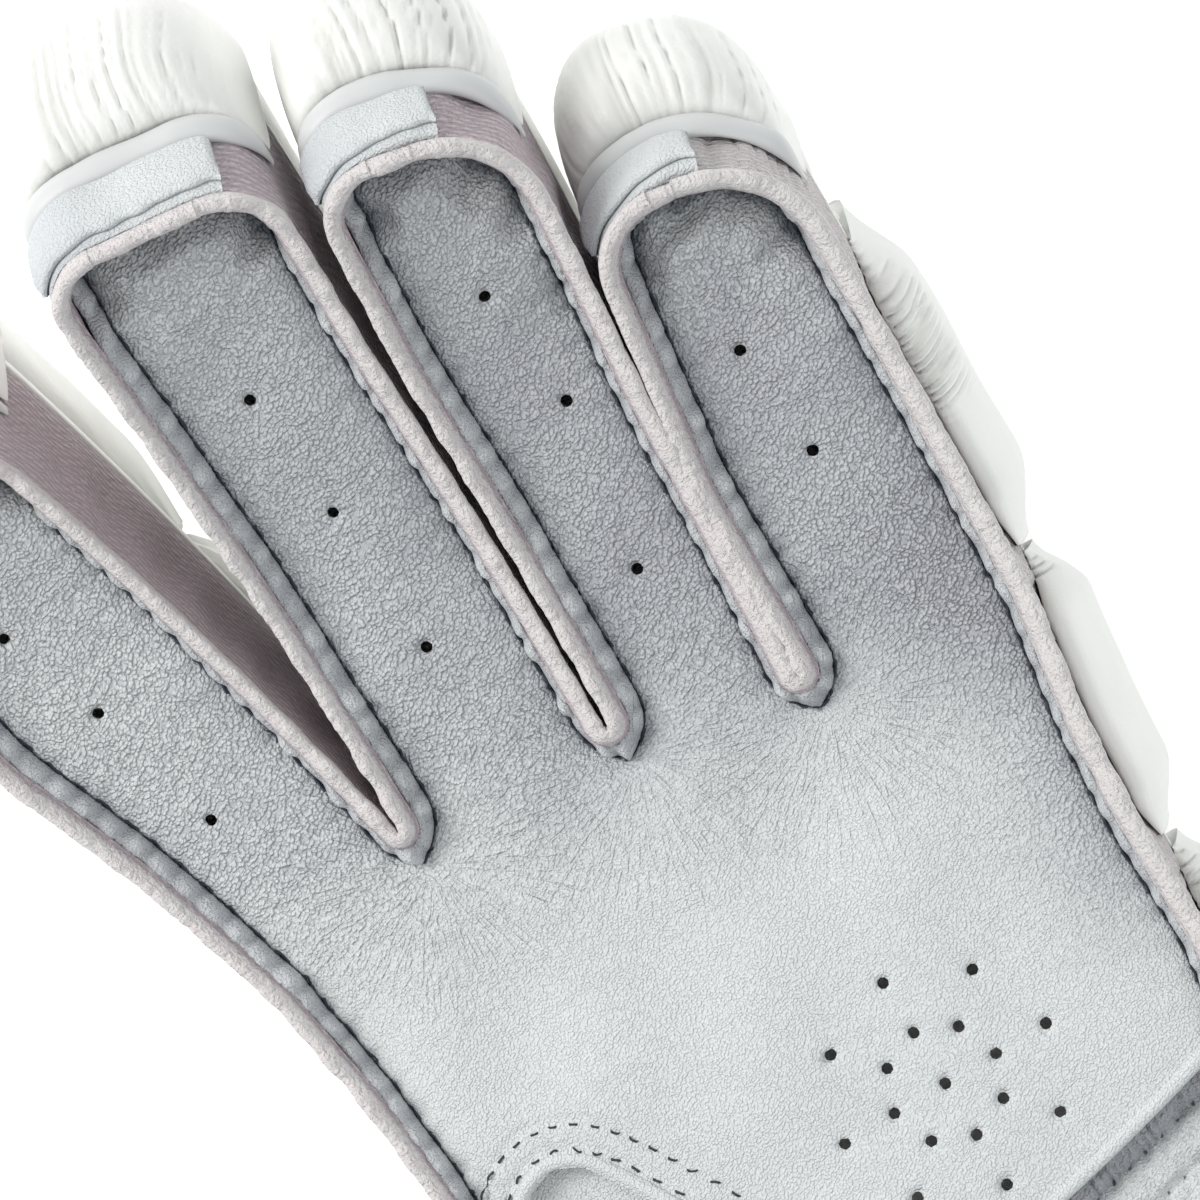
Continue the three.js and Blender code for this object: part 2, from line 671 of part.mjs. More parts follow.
// Back of the hand and fingers, which the padded rolls are sewn to
const wall = GUSSET_WALL / 2;
const ulnarFoot = ULNAR_SEAM[ULNAR_SEAM.length - 1];
const wristLine = [[WRIST_RADIAL_X + THUMB_SEAM_GAP, WRIST_S], [ulnarFoot[0] + wall, WRIST_S]];
const backColumns = 2;
const backHem = Array.from({ length: backColumns * fingers.length + 1 }, (_, i) => (
  lerp(wristLine[0], wristLine[1], i / (backColumns * fingers.length))
));
const backRadial = [...insetLine(RADIAL_SEAM.slice(1), -wall), backHem[0]];
const backUlnar = [...insetLine(ULNAR_SEAM.slice(1, -1), -wall), backHem[backHem.length - 1]];
const backGrid = handGrid({
  inset: -wall,
  crotchDrop: -wall,
  columns: backColumns,
  palmRows: BACK_ROWS,
  hem: backHem,
  radial: (v) => alongLine(backRadial, v),
  ulnar: (v) => alongLine(backUlnar, v),
  height: () => BACK_TOP,
});
addPiece('hand_back', sheet(backGrid.top, backGrid.faces, BACK_WALL, () => 0), MATERIALS.backLeather);

// Back of the thumb, sewn to the hand's back along a straight seam
const thumbBackUpper = insetLine(thumbUpper, -wall);
const thumbBackLower = insetLine(thumbLower, -wall);
thumbBackUpper[0] = [radialFoot[0] - wall - THUMB_SEAM_GAP, radialFoot[1] - THUMB_SEAM_GAP];
thumbBackLower[0] = [WRIST_RADIAL_X - GAP, WRIST_S];
const thumbBackGrid = lobeGrid(thumbBackLower, thumbBackUpper, backColumns, () => BACK_TOP);
const thumbBackSheet = sheet(thumbBackGrid.top, thumbBackGrid.faces, BACK_WALL, () => 0);
addPiece('thumb_back', thumbBackSheet, MATERIALS.backLeather);

// Cloth side walls, which stand on the back and rise past the leather's flange
const wallProfile = [
  [-wall, BACK_TOP + GAP], [wall, BACK_TOP + GAP], [wall, RIDGE_TOP], [-wall, RIDGE_TOP],
];
function addGusset(name, from, to) {
  addPiece(name, loft(pullApart(seamWall(from, to, wallProfile))), MATERIALS.cloth);
}
addGusset('thumb_gusset', 0, marks.index_side_start);
addGusset('index_side_gusset', marks.index_side_start, marks.index_left_corner);
fingers.forEach((finger, i) => {
  const tipStart = marks[`${finger.name}_left_corner`];
  const tipEnd = marks[`${finger.name}_right_corner`];
  addGusset(`${finger.name}_tip_wall`, tipStart, tipEnd);
  const next = fingers[i + 1];
  if (next) addGusset(`${finger.name}_${next.name}_fourchette`, tipEnd, marks[`${next.name}_left_corner`]);
});
addGusset('little_side_gusset', marks.little_right_corner, seam.length - 1);

// Point part of the way along a row of points
function atRow(line, row) {
  const i = Math.min(line.length - 2, Math.floor(row));
  return lerp(line[i], line[i + 1], row - i);
}

// Padded roll between two side lines. span gives the left and right points at a share
// of the roll's length.
function roll(span, overhang = 0) {
  const rings = ROLL_PROFILE.map(({ along, width, depth }) => {
    const [left, right] = span(along);
    const reach = distance(left, right);
    const [sideX, sideS] = [(right[0] - left[0]) / reach, (right[1] - left[1]) / reach];
    const centre = lerp(left, right, 0.5);
    const point = (side, down) => {
      const out = side * width * (reach / 2) + (side > 0 ? side * overhang : 0);
      return [centre[0] + sideX * out, centre[1] + sideS * out, ROLL_DEPTH * (1 - down * depth)];
    };
    const right4 = ROLL_SECTION.map(({ side, down }) => point(side, down));
    const left4 = ROLL_SECTION.map(({ side, down }) => point(-side, down)).reverse();
    return [...right4, ...left4];
  });
  return loft(rings);
}

// Gathered leather wrapped up round a fingertip, with pleats that fan out from the band
function tipWrap(from, to) {
  const inner = wall + GAP;
  const profile = [
    [inner, TIP_SEAT_HEIGHT], [inner, TIP_WRAP_TOP],
    ...TIP_WRAP_FACE.map(({ out, h }) => [inner + TIP_WRAP_OUT * out, h]),
    [inner, TIP_WRAP_BOTTOM], [-TIP_TUCK, TIP_TUCK_HEIGHT], [-TIP_TUCK, TIP_SEAT_HEIGHT],
  ];
  const steps = 2 * (to - from);
  const rings = [];
  for (let k = 0; k <= steps; k++) {
    const i = Math.floor(k / 2);
    const half = (k % 2) / 2;
    const a = seam[from + i];
    const b = seam[Math.min(to, from + i + 1)];
    const at = lerp(a.at, b.at, half);
    const out = lerp(a.out, b.out, half);
    const nearEnd = THREE.MathUtils.smoothstep(Math.min(k, steps - k), 0, WRAP_RAMP);
    const swell = (WRAP_END_SHARE + (1 - WRAP_END_SHARE) * nearEnd) * (k % 2 ? 1 : 1 - PLEAT_DEPTH);
    rings.push(profile.map(([away, h]) => {
      const reach = away > inner ? inner + (away - inner) * swell : away;
      return [at[0] + out[0] * reach, at[1] + out[1] * reach, h];
    }));
  }
  return loft(rings);
}

// Place on the seam below the little finger's tip, and the seam's outward direction there
function ulnarSeamAt(s) {
  let i = marks.little_right_corner;
  while (i < seam.length - 2 && seam[i + 1].at[1] > s) i += 1;
  const share = (seam[i].at[1] - s) / (seam[i].at[1] - seam[i + 1].at[1]);
  return {
    at: lerp(seam[i].at, seam[i + 1].at, share),
    out: lerp(seam[i].out, seam[i + 1].out, share),
  };
}

// Leather that swells up the side wall beside a roll, between two places along the hand
function sideSwell(high, low) {
  const inner = wall + GAP;
  const steps = Math.round((high - low) / SIDE_SWELL_STEP);
  const rings = Array.from({ length: steps + 1 }, (_, k) => {
    const { at, out } = ulnarSeamAt(high + ((low - high) * k) / steps);
    const nearEnd = THREE.MathUtils.smoothstep(Math.min(k, steps - k), 0, SIDE_SWELL_RAMP);
    const share = SIDE_SWELL_END_SHARE + (1 - SIDE_SWELL_END_SHARE) * nearEnd;
    return SIDE_SWELL.map(({ away, up }) => {
      const reach = inner + away * share;
      return [at[0] + out[0] * reach, at[1] + out[1] * reach, SIDE_SWELL_FOOT + up * share];
    });
  });
  return loft(rings);
}

// Rolls, gathered ends, bands and straps of the fingers
fingers.forEach((finger, f) => {
  const left = insetLine(finger.left, -ROLL_EDGE);
  const right = insetLine(finger.right, -ROLL_EDGE);
  const overhang = f === fingers.length - 1 ? ULNAR_OVERHANG : 0;
  const rollBetween = (from, to, extra) => roll((along) => {
    const row = from + (to - from) * along;
    return [atRow(left, row), atRow(right, row)];
  }, extra);
  const jointStart = FINGER_JOINT_ROW[f] - FINGER_JOINT_GAP / 2;
  const jointEnd = FINGER_JOINT_ROW[f] + FINGER_JOINT_GAP / 2;
  const proximal = rollBetween(FINGER_ROLL_START[f], jointStart, overhang);
  const [foot, head] = [FINGER_ROLL_START[f], jointStart].map((row) => atRow(right, row)[1]);
  const swollen = overhang ? proximal.add(sideSwell(head, foot)) : proximal;
  addPiece(`${finger.name}_roll_proximal`, swollen, MATERIALS.rollLeather);
  const tipStart = marks[`${finger.name}_left_corner`];
  const tipEnd = marks[`${finger.name}_right_corner`];
  const wrapped = tipWrap(tipStart - CORNER_STEPS, tipEnd + CORNER_STEPS);
  const distal = rollBetween(jointEnd, ROWS, 0).add(wrapped);
  addPiece(`${finger.name}_roll_distal`, distal, MATERIALS.rollLeather);
  const inner = wall + GAP;
  const bandLow = TIP_WRAP_CREST + GAP;
  const bandHigh = bandLow + BAND_HEIGHT;
  const bandProfile = [
    [inner, bandLow], [inner + BAND_WALL, bandLow], [inner + BAND_WALL, bandHigh], [inner, bandHigh],
  ];
  const band = seamWall(tipStart - CORNER_STEPS, tipEnd + CORNER_STEPS, bandProfile);
  addPiece(`${finger.name}_tip_band`, loft(band), MATERIALS.rollLeather);
  const strapLow = bandHigh + GAP;
  const strapHigh = strapLow + STRAP_TIP_HEIGHT;
  const strapProfile = [
    [inner, strapLow], [inner + STRAP_TIP_WALL, strapLow], [inner + STRAP_TIP_WALL, strapHigh],
    [inner, strapHigh],
  ];
  const strap = seamWall(tipStart - CORNER_STEPS + 1, tipEnd + 1, strapProfile);
  addPiece(`${finger.name}_tip_strap`, loft(strap), MATERIALS.strapLeather);
});

// Rolls over the back of the hand, four columns in two rows
const backRadialX = [RADIAL_SEAM[1][0], radialFoot[0], WRIST_RADIAL_X];
const backUlnarX = [ULNAR_SEAM[0][0], ULNAR_SEAM[3][0], ULNAR_SEAM[6][0]];
const rowLine = (row) => KNUCKLES.map(({ s }, c) => {
  const share = c / fingers.length;
  const x = backRadialX[row] + (backUlnarX[row] - backRadialX[row]) * share;
  return [x, row === 0 ? s : HAND_ROLL_LINES[row - 1]];
});
const handLines = [rowLine(0), rowLine(1), rowLine(2)];
['upper', 'lower'].forEach((rowName, row) => {
  fingers.forEach((finger, c) => {
    const corner = (line, column) => handLines[line][column];
    const gapAlong = row === 0 ? 0 : ROLL_JOINT;
    const span = (along) => {
      const left = lerp(corner(row, c), corner(row + 1, c), along);
      const right = lerp(corner(row, c + 1), corner(row + 1, c + 1), along);
      const trim = ROLL_SIDE_GAP / distance(left, right);
      const shift = along === 0 ? -gapAlong : 0;
      const [a, b] = [lerp(left, right, trim), lerp(right, left, trim)];
      return [[a[0], a[1] + shift], [b[0], b[1] + shift]];
    };
    const overhang = c === fingers.length - 1 ? ULNAR_OVERHANG : 0;
    const [head, foot] = [span(0), span(1)].map(([, rightEnd]) => rightEnd[1]);
    const flat = roll(span, overhang);
    const swollen = overhang ? flat.add(sideSwell(head, foot)) : flat;
    addPiece(`back_roll_${rowName}_${finger.name}`, swollen, MATERIALS.rollLeather);
  });
});

// Rolls over the back of the thumb
const thumbRollUpper = insetLine(thumbUpper, -ROLL_EDGE);
const thumbRollLower = insetLine(thumbLower, -ROLL_EDGE);
THUMB_ROLLS.forEach(({ name, from, to }) => {
  const span = (along) => {
    const row = from + (to - from) * along;
    return [atRow(thumbRollLower, row), atRow(thumbRollUpper, row)];
  };
  addPiece(name, roll(span), MATERIALS.rollLeather);
});

// Cuff, its binding and the closing strap, all swept round the same squarish tube
function cuffPoint(turn, along, out) {
  const angle = 2 * Math.PI * turn;
  const width = CUFF_FRONT_WIDTH + (CUFF_END_WIDTH - CUFF_FRONT_WIDTH) * along;
  const height = CUFF_FRONT_HEIGHT + (CUFF_END_HEIGHT - CUFF_FRONT_HEIGHT) * along;
  const power = (value) => Math.sign(value) * Math.abs(value) ** CUFF_SQUARENESS;
  const x = CUFF_CENTRE_X + (width / 2 + out) * power(Math.cos(angle));
  const h = CUFF_CENTRE_H - CUFF_END_DROP * along + (height / 2 + out) * power(Math.sin(angle));
  return [x, WRIST_S - GAP - CUFF_LENGTH * along, h];
}
function cuffRing(section) {
  const rings = Array.from({ length: CUFF_SIDES }, (_, i) => (
    section.map(([along, out]) => cuffPoint(i / CUFF_SIDES, along, out))
  ));
  return loft(rings, true);
}
const cuffSection = [
  [0, -CUFF_WALL], [CUFF_BEND, -CUFF_WALL], [1, -CUFF_WALL], [1, 0], [CUFF_BEND, 0], [0, 0],
];
addPiece('cuff', cuffRing(cuffSection), MATERIALS.towelling);
const bindingShare = BINDING_WIDTH / CUFF_LENGTH;
const seat = GAP / CUFF_LENGTH;
const bindingOut = GAP + BINDING_STANDOFF;
const bindingEnd = 1 + bindingOut / CUFF_LENGTH;
const bindingSection = [
  [1 - bindingShare, GAP], [1 + seat, GAP], [1 + seat, -CUFF_WALL], [bindingEnd, -CUFF_WALL],
  [bindingEnd, bindingOut], [1 - bindingShare, bindingOut],
];
addPiece('cuff_binding', cuffRing(bindingSection), MATERIALS.webbing);
const strapFrom = STRAP_SETBACK / CUFF_LENGTH;
const strapTo = (STRAP_SETBACK + STRAP_WIDTH) / CUFF_LENGTH;
const strapRings = Array.from({ length: STRAP_STEPS + 1 }, (_, i) => {
  const turn = STRAP_TURN.from + ((STRAP_TURN.to - STRAP_TURN.from) * i) / STRAP_STEPS;
  return [
    cuffPoint(turn, strapFrom, GAP), cuffPoint(turn, strapTo, GAP),
    cuffPoint(turn, strapTo, GAP + STRAP_WALL), cuffPoint(turn, strapFrom, GAP + STRAP_WALL),
  ];
});
addPiece('wrist_strap', loft(strapRings), MATERIALS.webbing);

export default glove;
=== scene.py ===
import math

import bpy
import numpy as np
from mathutils import Matrix, Vector


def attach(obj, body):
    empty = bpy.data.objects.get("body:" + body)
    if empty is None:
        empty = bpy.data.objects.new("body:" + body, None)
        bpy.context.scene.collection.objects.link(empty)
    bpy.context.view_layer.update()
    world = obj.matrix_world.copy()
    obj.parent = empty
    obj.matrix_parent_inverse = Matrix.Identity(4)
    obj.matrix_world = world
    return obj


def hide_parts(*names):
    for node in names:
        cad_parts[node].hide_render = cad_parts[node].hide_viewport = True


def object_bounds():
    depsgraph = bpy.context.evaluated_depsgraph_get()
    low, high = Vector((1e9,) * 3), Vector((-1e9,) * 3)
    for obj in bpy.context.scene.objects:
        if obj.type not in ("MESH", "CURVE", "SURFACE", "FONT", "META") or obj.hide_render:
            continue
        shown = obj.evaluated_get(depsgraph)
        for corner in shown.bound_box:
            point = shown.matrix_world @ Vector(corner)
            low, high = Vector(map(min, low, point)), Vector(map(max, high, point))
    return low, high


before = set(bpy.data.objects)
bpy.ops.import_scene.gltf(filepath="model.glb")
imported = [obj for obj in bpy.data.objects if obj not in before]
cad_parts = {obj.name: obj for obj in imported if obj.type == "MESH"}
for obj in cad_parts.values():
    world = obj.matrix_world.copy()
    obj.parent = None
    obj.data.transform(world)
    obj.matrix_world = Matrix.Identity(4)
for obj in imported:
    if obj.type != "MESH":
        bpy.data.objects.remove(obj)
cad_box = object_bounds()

# Camera, table and light. The glove lies palm up on a pale table, and the camera looks
# down on it, tilted a little towards the little finger and rolled so that the fingers
# point to the upper left. The key light stands behind the fingertips.
AIM = Vector((-0.00647, 0.04348, 0.050))
CAMERA_DISTANCE = 0.700
CAMERA_TILT = math.radians(8)
CAMERA_ROLL = math.radians(30)
CAMERA_LENS = 177.45
SENSOR = 36.0

camera_back = Vector((math.sin(CAMERA_TILT), 0, math.cos(CAMERA_TILT)))
level_right = (-camera_back).cross(Vector((0, 1, 0)))
camera_right = math.cos(CAMERA_ROLL) * level_right - math.sin(CAMERA_ROLL) * Vector((0, 1, 0))
camera_up = camera_back.cross(camera_right)
camera_data = bpy.data.cameras.new("camera")
camera_data.lens = CAMERA_LENS
camera_data.sensor_width = SENSOR
camera = bpy.data.objects.new("camera", camera_data)
camera.matrix_world = Matrix.Translation(AIM + camera_back * CAMERA_DISTANCE) @ Matrix(
    (camera_right, camera_up, camera_back)).transposed().to_4x4()
bpy.context.scene.collection.objects.link(camera)
bpy.context.scene.camera = camera
bpy.context.scene.view_settings.view_transform = "Standard"


def add_lamp(name, place, size, power, colour):
    """Square area lamp at a place, turned to face the glove."""
    lamp = bpy.data.lights.new(name, "AREA")
    lamp.size = size
    lamp.energy = power
    lamp.color = colour
    lamp_object = bpy.data.objects.new(name, lamp)
    away = Vector(place) - AIM
    lamp_object.matrix_world = (
        Matrix.Translation(place) @ away.to_track_quat("Z", "Y").to_matrix().to_4x4())
    bpy.context.scene.collection.objects.link(lamp_object)


add_lamp("key_lamp", (-0.75, 0.75, 0.95), 0.7, 14, (1.0, 0.99, 0.98))
add_lamp("fill_lamp", (0.7, -0.5, 1.1), 1.0, 4, (0.95, 0.98, 1.0))
world = bpy.data.worlds.new("studio")
world.use_nodes = True
sky = world.node_tree.nodes["Background"].inputs
sky["Color"].default_value = (0.97, 0.985, 1.0, 1)
sky["Strength"].default_value = 0.50
bpy.context.scene.world = world

TABLE_HALF, TABLE_DROP = 2.0, 0.0002
table_mesh = bpy.data.meshes.new("table")
table_mesh.from_pydata(
    [(-TABLE_HALF, -TABLE_HALF, 0), (TABLE_HALF, -TABLE_HALF, 0),
     (TABLE_HALF, TABLE_HALF, 0), (-TABLE_HALF, TABLE_HALF, 0)], [], [(0, 1, 2, 3)])
table_finish = bpy.data.materials.new("pale_table")
table_finish.use_nodes = True
table_shader = table_finish.node_tree.nodes["Principled BSDF"]
table_shader.inputs["Base Color"].default_value = (0.88, 0.88, 0.88, 1)
table_shader.inputs["Roughness"].default_value = 0.9
table_shader.inputs["Emission Color"].default_value = (1, 1, 1, 1)
table_shader.inputs["Emission Strength"].default_value = 0.45
table_mesh.materials.append(table_finish)
table = bpy.data.objects.new("table", table_mesh)
table.location.z = cad_box[0].z - TABLE_DROP
bpy.context.scene.collection.objects.link(table)


# Palm leather. One sheet of soft pebbled leather covers the palm and the fronts of the
# four fingers. Its edge is turned up and stitched to the side walls through small puffs,
# it dips round the thumb's arch, and small round holes are punched through it.
ORIGIN_X, ORIGIN_S = 15, -26
CURL_RADIUS, CURL_START, CURL_LEVEL = 145, -5, 47
GAP = 0.3
ROLL_DEPTH = 20
BACK_BOTTOM = ROLL_DEPTH + GAP
BACK_TOP = BACK_BOTTOM + 2
PALM_BOTTOM = BACK_TOP + GAP + 23.4
PALM_TOP = PALM_BOTTOM + 1.2
RIDGE_TOP = PALM_TOP + 4.8
UNDER_PALM = PALM_BOTTOM - GAP
WALL_HALF = 0.7
WRIST_S = -97
WRIST_RADIAL_X = -37

FINGERS = [
    {"name": "index", "left": [(-48.6, -5), (-54.8, 14.6), (-62.9, 36), (-69.2, 70.5)],
     "right": [(-27.4, 5.9), (-34.8, 39.2), (-43.2, 76.5)], "corners": (9, 8)},
    {"name": "middle", "left": [(-24.9, 5.9), (-25.1, 45), (-25.3, 89.4)],
     "right": [(0.2, 4.6), (0.6, 60), (2, 86.2)], "corners": (6, 8)},
    {"name": "ring", "left": [(3.4, 4.6), (4.5, 55), (7, 81.2)],
     "right": [(23.2, -1.6), (25, 37), (29, 76.4)], "corners": (6, 12)},
    {"name": "little", "left": [(26, -1.6), (26.2, 23), (31, 58.4)],
     "right": [(52.1, -7), (52.9, 30), (53.6, 56.2)], "corners": (8, 13)},
]
RADIAL_SEAM = [(-48.6, -5), (-47.8, -9), (-45.6, -20), (-43.8, -34), (-43.4, -42.5)]
ULNAR_SEAM = [(52.1, -7), (51.6, -11), (50, -23), (49.5, -36), (50.1, -52), (49, -72),
              (46.5, WRIST_S)]
THUMB_UPPER = [(-46.2, -42.9), (-60, -36.6), (-76, -29.6), (-97.5, -21.5)]
THUMB_LOWER = [(WRIST_RADIAL_X, WRIST_S), (-43.5, -84.5), (-62, -69), (-82, -58.5),
               (-107, -47.5)]
THUMB_CORNERS = (12, 13)
PALM_HEM = [
    (-41.6, -43.6), (-39.4, -45.6), (-37.9, -43.2), (-34.9, -40), (-31.2, -38.6),
    (-27.6, -40.2), (-24, -45.6), (-18.5, -54.5), (-12.5, -64.5), (-5.5, -77.6),
    (4, -75.6), (12, -73.4), (20, -71.2), (28, -69), (35, -67), (41.5, -65), (46.6, -63.4),
]
SIDE_ROWS, CORNER_ROWS, ROOT_ROWS, COLUMNS, PALM_ROWS = 104, 20, 10, 40, 104
LEFT_INSET, RIGHT_INSET = 2.9, 2.3
CROTCH_DROP = 3.6
RIM_INNER = 1.15
FLANGE_HEIGHT = 3.1
EDGE_STEP = 0.34
LEATHER_WALL = 0.9
PILLOW = 1.2
STITCH_PITCH = 4.1
HOLE_RADIUS = 0.74
HOLE_CENTRE = (15.1, -52.6)
HOLE_RINGS = [(0, 1), (7.1, 8), (14, 8)]
HOLE_TURN = 0.03
FINGER_HOLES = [
    (-54.3, 50.5), (-49.9, 36.6), (-45.5, 18.2), (-13.7, 60.7), (-13.0, 43.3),
    (-12.1, 23.4), (16.2, 57.1), (17.6, 40.7), (14.2, 18.7), (38.1, 35.3), (39.3, 20.5),
]
TIP_RECESS, RECESS_DEPTH = 5.6, 3.1
ARCH_ROWS = (2.7, 5.9)
CROTCH_PLACES = [(-25.2, 0.2), (2.6, -0.8), (25.4, -6.8)]


def bend(x, s, h):
    """Curls flat points about an axis above the palm, millimetres to metres. Past the
    curl's start the length s becomes the angle s / radius and h a distance to the axis."""
    angle = np.maximum(s - CURL_START, 0) / CURL_RADIUS
    radius = CURL_RADIUS - (h - CURL_LEVEL)
    y = np.where(s > CURL_START, CURL_START + radius * np.sin(angle), s)
    z = np.where(s > CURL_START, CURL_LEVEL + CURL_RADIUS - radius * np.cos(angle), h)
    return np.stack([x - ORIGIN_X, y - ORIGIN_S, z], -1) / 1000


def lengths_along(line):
    """Running length of a polyline at each of its points."""
    steps = np.hypot(*np.diff(line, axis=0).T)
    return np.concatenate([[0], np.cumsum(steps)])


def along(line, shares):
    """Points at shares of a polyline's length, by linear interpolation."""
    line = np.asarray(line, float)
    place = lengths_along(line)
    return np.stack([np.interp(np.asarray(shares) * place[-1], place, c) for c in line.T], -1)


def evenly(line, step):
    """A polyline drawn again with points about one step apart."""
    count = int(round(lengths_along(line)[-1] / step)) + 1
    return along(line, np.linspace(0, 1, count))


def along_index(line, count):
    """A table of points spread evenly, by row number, over the given count."""
    line = np.asarray(line, float)
    rows = np.linspace(0, len(line) - 1, count)
    return np.stack([np.interp(rows, np.arange(len(line)), c) for c in line.T], -1)


def smooth(line, width):
    """Gaussian average of a row of points, about width points wide, mirrored through
    the two ends so that they stay where they are."""
    line = np.asarray(line, float)
    reach = int(3 * width)
    kernel = np.exp(-0.5 * (np.arange(-reach, reach + 1) / width) ** 2)
    kernel /= kernel.sum()
    before = 2 * line[0] - line[reach:0:-1]
    after = 2 * line[-1] - line[-2:-reach - 2:-1]
    padded = np.vstack([before, line, after])
    return np.stack([np.convolve(c, kernel, "valid") for c in padded.T], -1)


def side_curve(line, toward, radius):
    """One side of a finger, from its root to the end of the rounded tip corner: the
    polyline up to the corner's arc, then the arc of that radius towards the next point."""
    line = np.asarray(line, float)
    corner = line[-1]
    back = line[-2] - corner
    back /= np.hypot(*back)
    on = np.asarray(toward, float) - corner
    on /= np.hypot(*on)
    half = math.acos(back @ on) / 2
    start = corner + back * radius / math.tan(half)
    end = corner + on * radius / math.tan(half)
    middle = (back + on) / np.hypot(*(back + on))
    centre = corner + middle * radius / math.sin(half)
    straight = along([*line[:-1], start], np.linspace(0, 1, SIDE_ROWS + 1))
    first, last = (math.atan2(*(p - centre)[::-1]) for p in (start, end))
    turn = (last - first + math.pi) % (2 * math.pi) - math.pi
    angles = first + turn * np.arange(1, CORNER_ROWS + 1) / CORNER_ROWS
    arc = centre + radius * np.stack([np.cos(angles), np.sin(angles)], -1)
    return smooth(np.vstack([straight, arc]), 2.0)


def left_normals(line):
    """Unit normals to the left of a row of points, from central differences."""
    step = np.gradient(line, axis=0)
    step /= np.hypot(*step.T)[:, None]
    return np.stack([-step[:, 1], step[:, 0]], -1)


def nearest(points, line):
    """Distance from each point to the nearest point of a dense line, and its index."""
    distance = np.empty(len(points))
    index = np.empty(len(points), int)
    for block in np.array_split(np.arange(len(points)), max(1, len(points) // 1500)):
        gaps = np.hypot(*(points[block, None] - line[None]).transpose(2, 0, 1))
        index[block] = gaps.argmin(1)
        distance[block] = gaps[np.arange(len(block)), index[block]]
    return distance, index


def ripples(x, y, seed, wavelength, angle=0.0, spread=math.pi, count=20):
    """Random field of about unit size: the sum of cosine waves with directions within
    spread of angle and lengths within 30 per cent of the wavelength."""
    random = np.random.default_rng(seed)
    total = 0.0
    for _ in range(count):
        heading = angle + spread * random.uniform(-1, 1)
        pitch = wavelength * random.uniform(0.7, 1.3)
        across = x * math.cos(heading) + y * math.sin(heading)
        total = total + np.cos(2 * math.pi * across / pitch + random.uniform(0, 2 * math.pi))
    return total * math.sqrt(2 / count)


def valleys(field, width):
    """Thin lines where a field crosses nought: 1 on the line, 0 away from it."""
    return np.exp(-(field / width) ** 2)


def rise(value, low, high):
    """Smooth step from 0 at low to 1 at high."""
    share = np.clip((value - low) / (high - low), 0, 1)
    return share * share * (3 - 2 * share)


def grid_faces(index, close_rows=False, close_columns=False):
    """Quads between neighbouring rows and columns of a grid of vertex numbers."""
    if close_rows:
        index = np.vstack([index, index[:1]])
    if close_columns:
        index = np.hstack([index, index[:, :1]])
    corners = [index[:-1, :-1], index[:-1, 1:], index[1:, 1:], index[1:, :-1]]
    return np.stack(corners, -1).reshape(-1, 4)


def cap_faces(ring):
    """Quads that close a ring of vertices whose first half runs opposite its second."""
    half = len(ring) // 2
    i = np.arange(half - 1)
    return np.stack([ring[i], ring[i + 1], ring[-2 - i], ring[-1 - i]], -1)


def tube_faces(index):
    """Quads of a closed tube, from its rings' vertex numbers, with a cap at each end."""
    return np.vstack([grid_faces(index, close_columns=True), cap_faces(index[0]),
                      cap_faces(index[-1])[:, ::-1]])


def beside(line, out, side):
    """Flat places x and s of rings, moved out from each point of a line."""
    return (line[:, None, c] + out[:, None, c] * side for c in (0, 1))


def make_piece(name, points, faces, finish, closed=True, values=None, uv=None):
    """Mesh object from points in metres and quads, shaded smooth. A closed shape is
    turned outwards by the sign of its volume. values are point attributes by name."""
    if closed:
        a, b, c, d = (points[faces[:, k]] for k in range(4))
        volume = (np.cross(b, c) * a).sum() + (np.cross(c, d) * a).sum()
        if volume < 0:
            faces = faces[:, ::-1]
    mesh = bpy.data.meshes.new(name)
    mesh.vertices.add(len(points))
    mesh.vertices.foreach_set("co", np.ascontiguousarray(points, np.float32).ravel())
    mesh.loops.add(faces.size)
    mesh.loops.foreach_set("vertex_index", np.ascontiguousarray(faces, np.int32).ravel())
    mesh.polygons.add(len(faces))
    mesh.polygons.foreach_set("loop_start", np.arange(0, faces.size, 4, dtype=np.int32))
    mesh.update(calc_edges=True)
    for key, value in (values or {}).items():
        attribute = mesh.attributes.new(key, "FLOAT", "POINT")
        attribute.data.foreach_set("value", np.asarray(value, np.float32).ravel())
    if uv is not None:
        layer = mesh.uv_layers.new(name="cloth")
        layer.data.foreach_set("uv", np.asarray(uv[faces.ravel()], np.float32).ravel())
    mesh.shade_smooth()
    mesh.materials.append(finish)
    piece = bpy.data.objects.new(name, mesh)
    bpy.context.scene.collection.objects.link(piece)
    return piece


class Value:
    """A shader socket that can be used in sums: each operator adds one Math node."""

    def __init__(self, finish, socket):
        self.finish, self.socket = finish, socket

    def maths(self, operation, *others):
        inputs = dict(enumerate((self, *others)))
        return self.finish.node("ShaderNodeMath", {"operation": operation}, inputs)

    def __add__(self, other):
        return self.maths("ADD", other)

    def __sub__(self, other):
        return self.maths("SUBTRACT", other)

    def __rsub__(self, other):
        return self.finish.node("ShaderNodeMath", {"operation": "SUBTRACT"}, {0: other, 1: self})

    def __mul__(self, other):
        return self.maths("MULTIPLY", other)

    def __truediv__(self, other):
        return self.maths("DIVIDE", other)

    def __pow__(self, other):
        return self.maths("POWER", other)

    def step(self, low, high):
        """Smooth step from 0 at low to 1 at high."""
        settings = {"interpolation_type": "SMOOTHSTEP"}
        return self.finish.node("ShaderNodeMapRange", settings, {0: self, 1: low, 2: high})

    __radd__, __rmul__ = __add__, __mul__


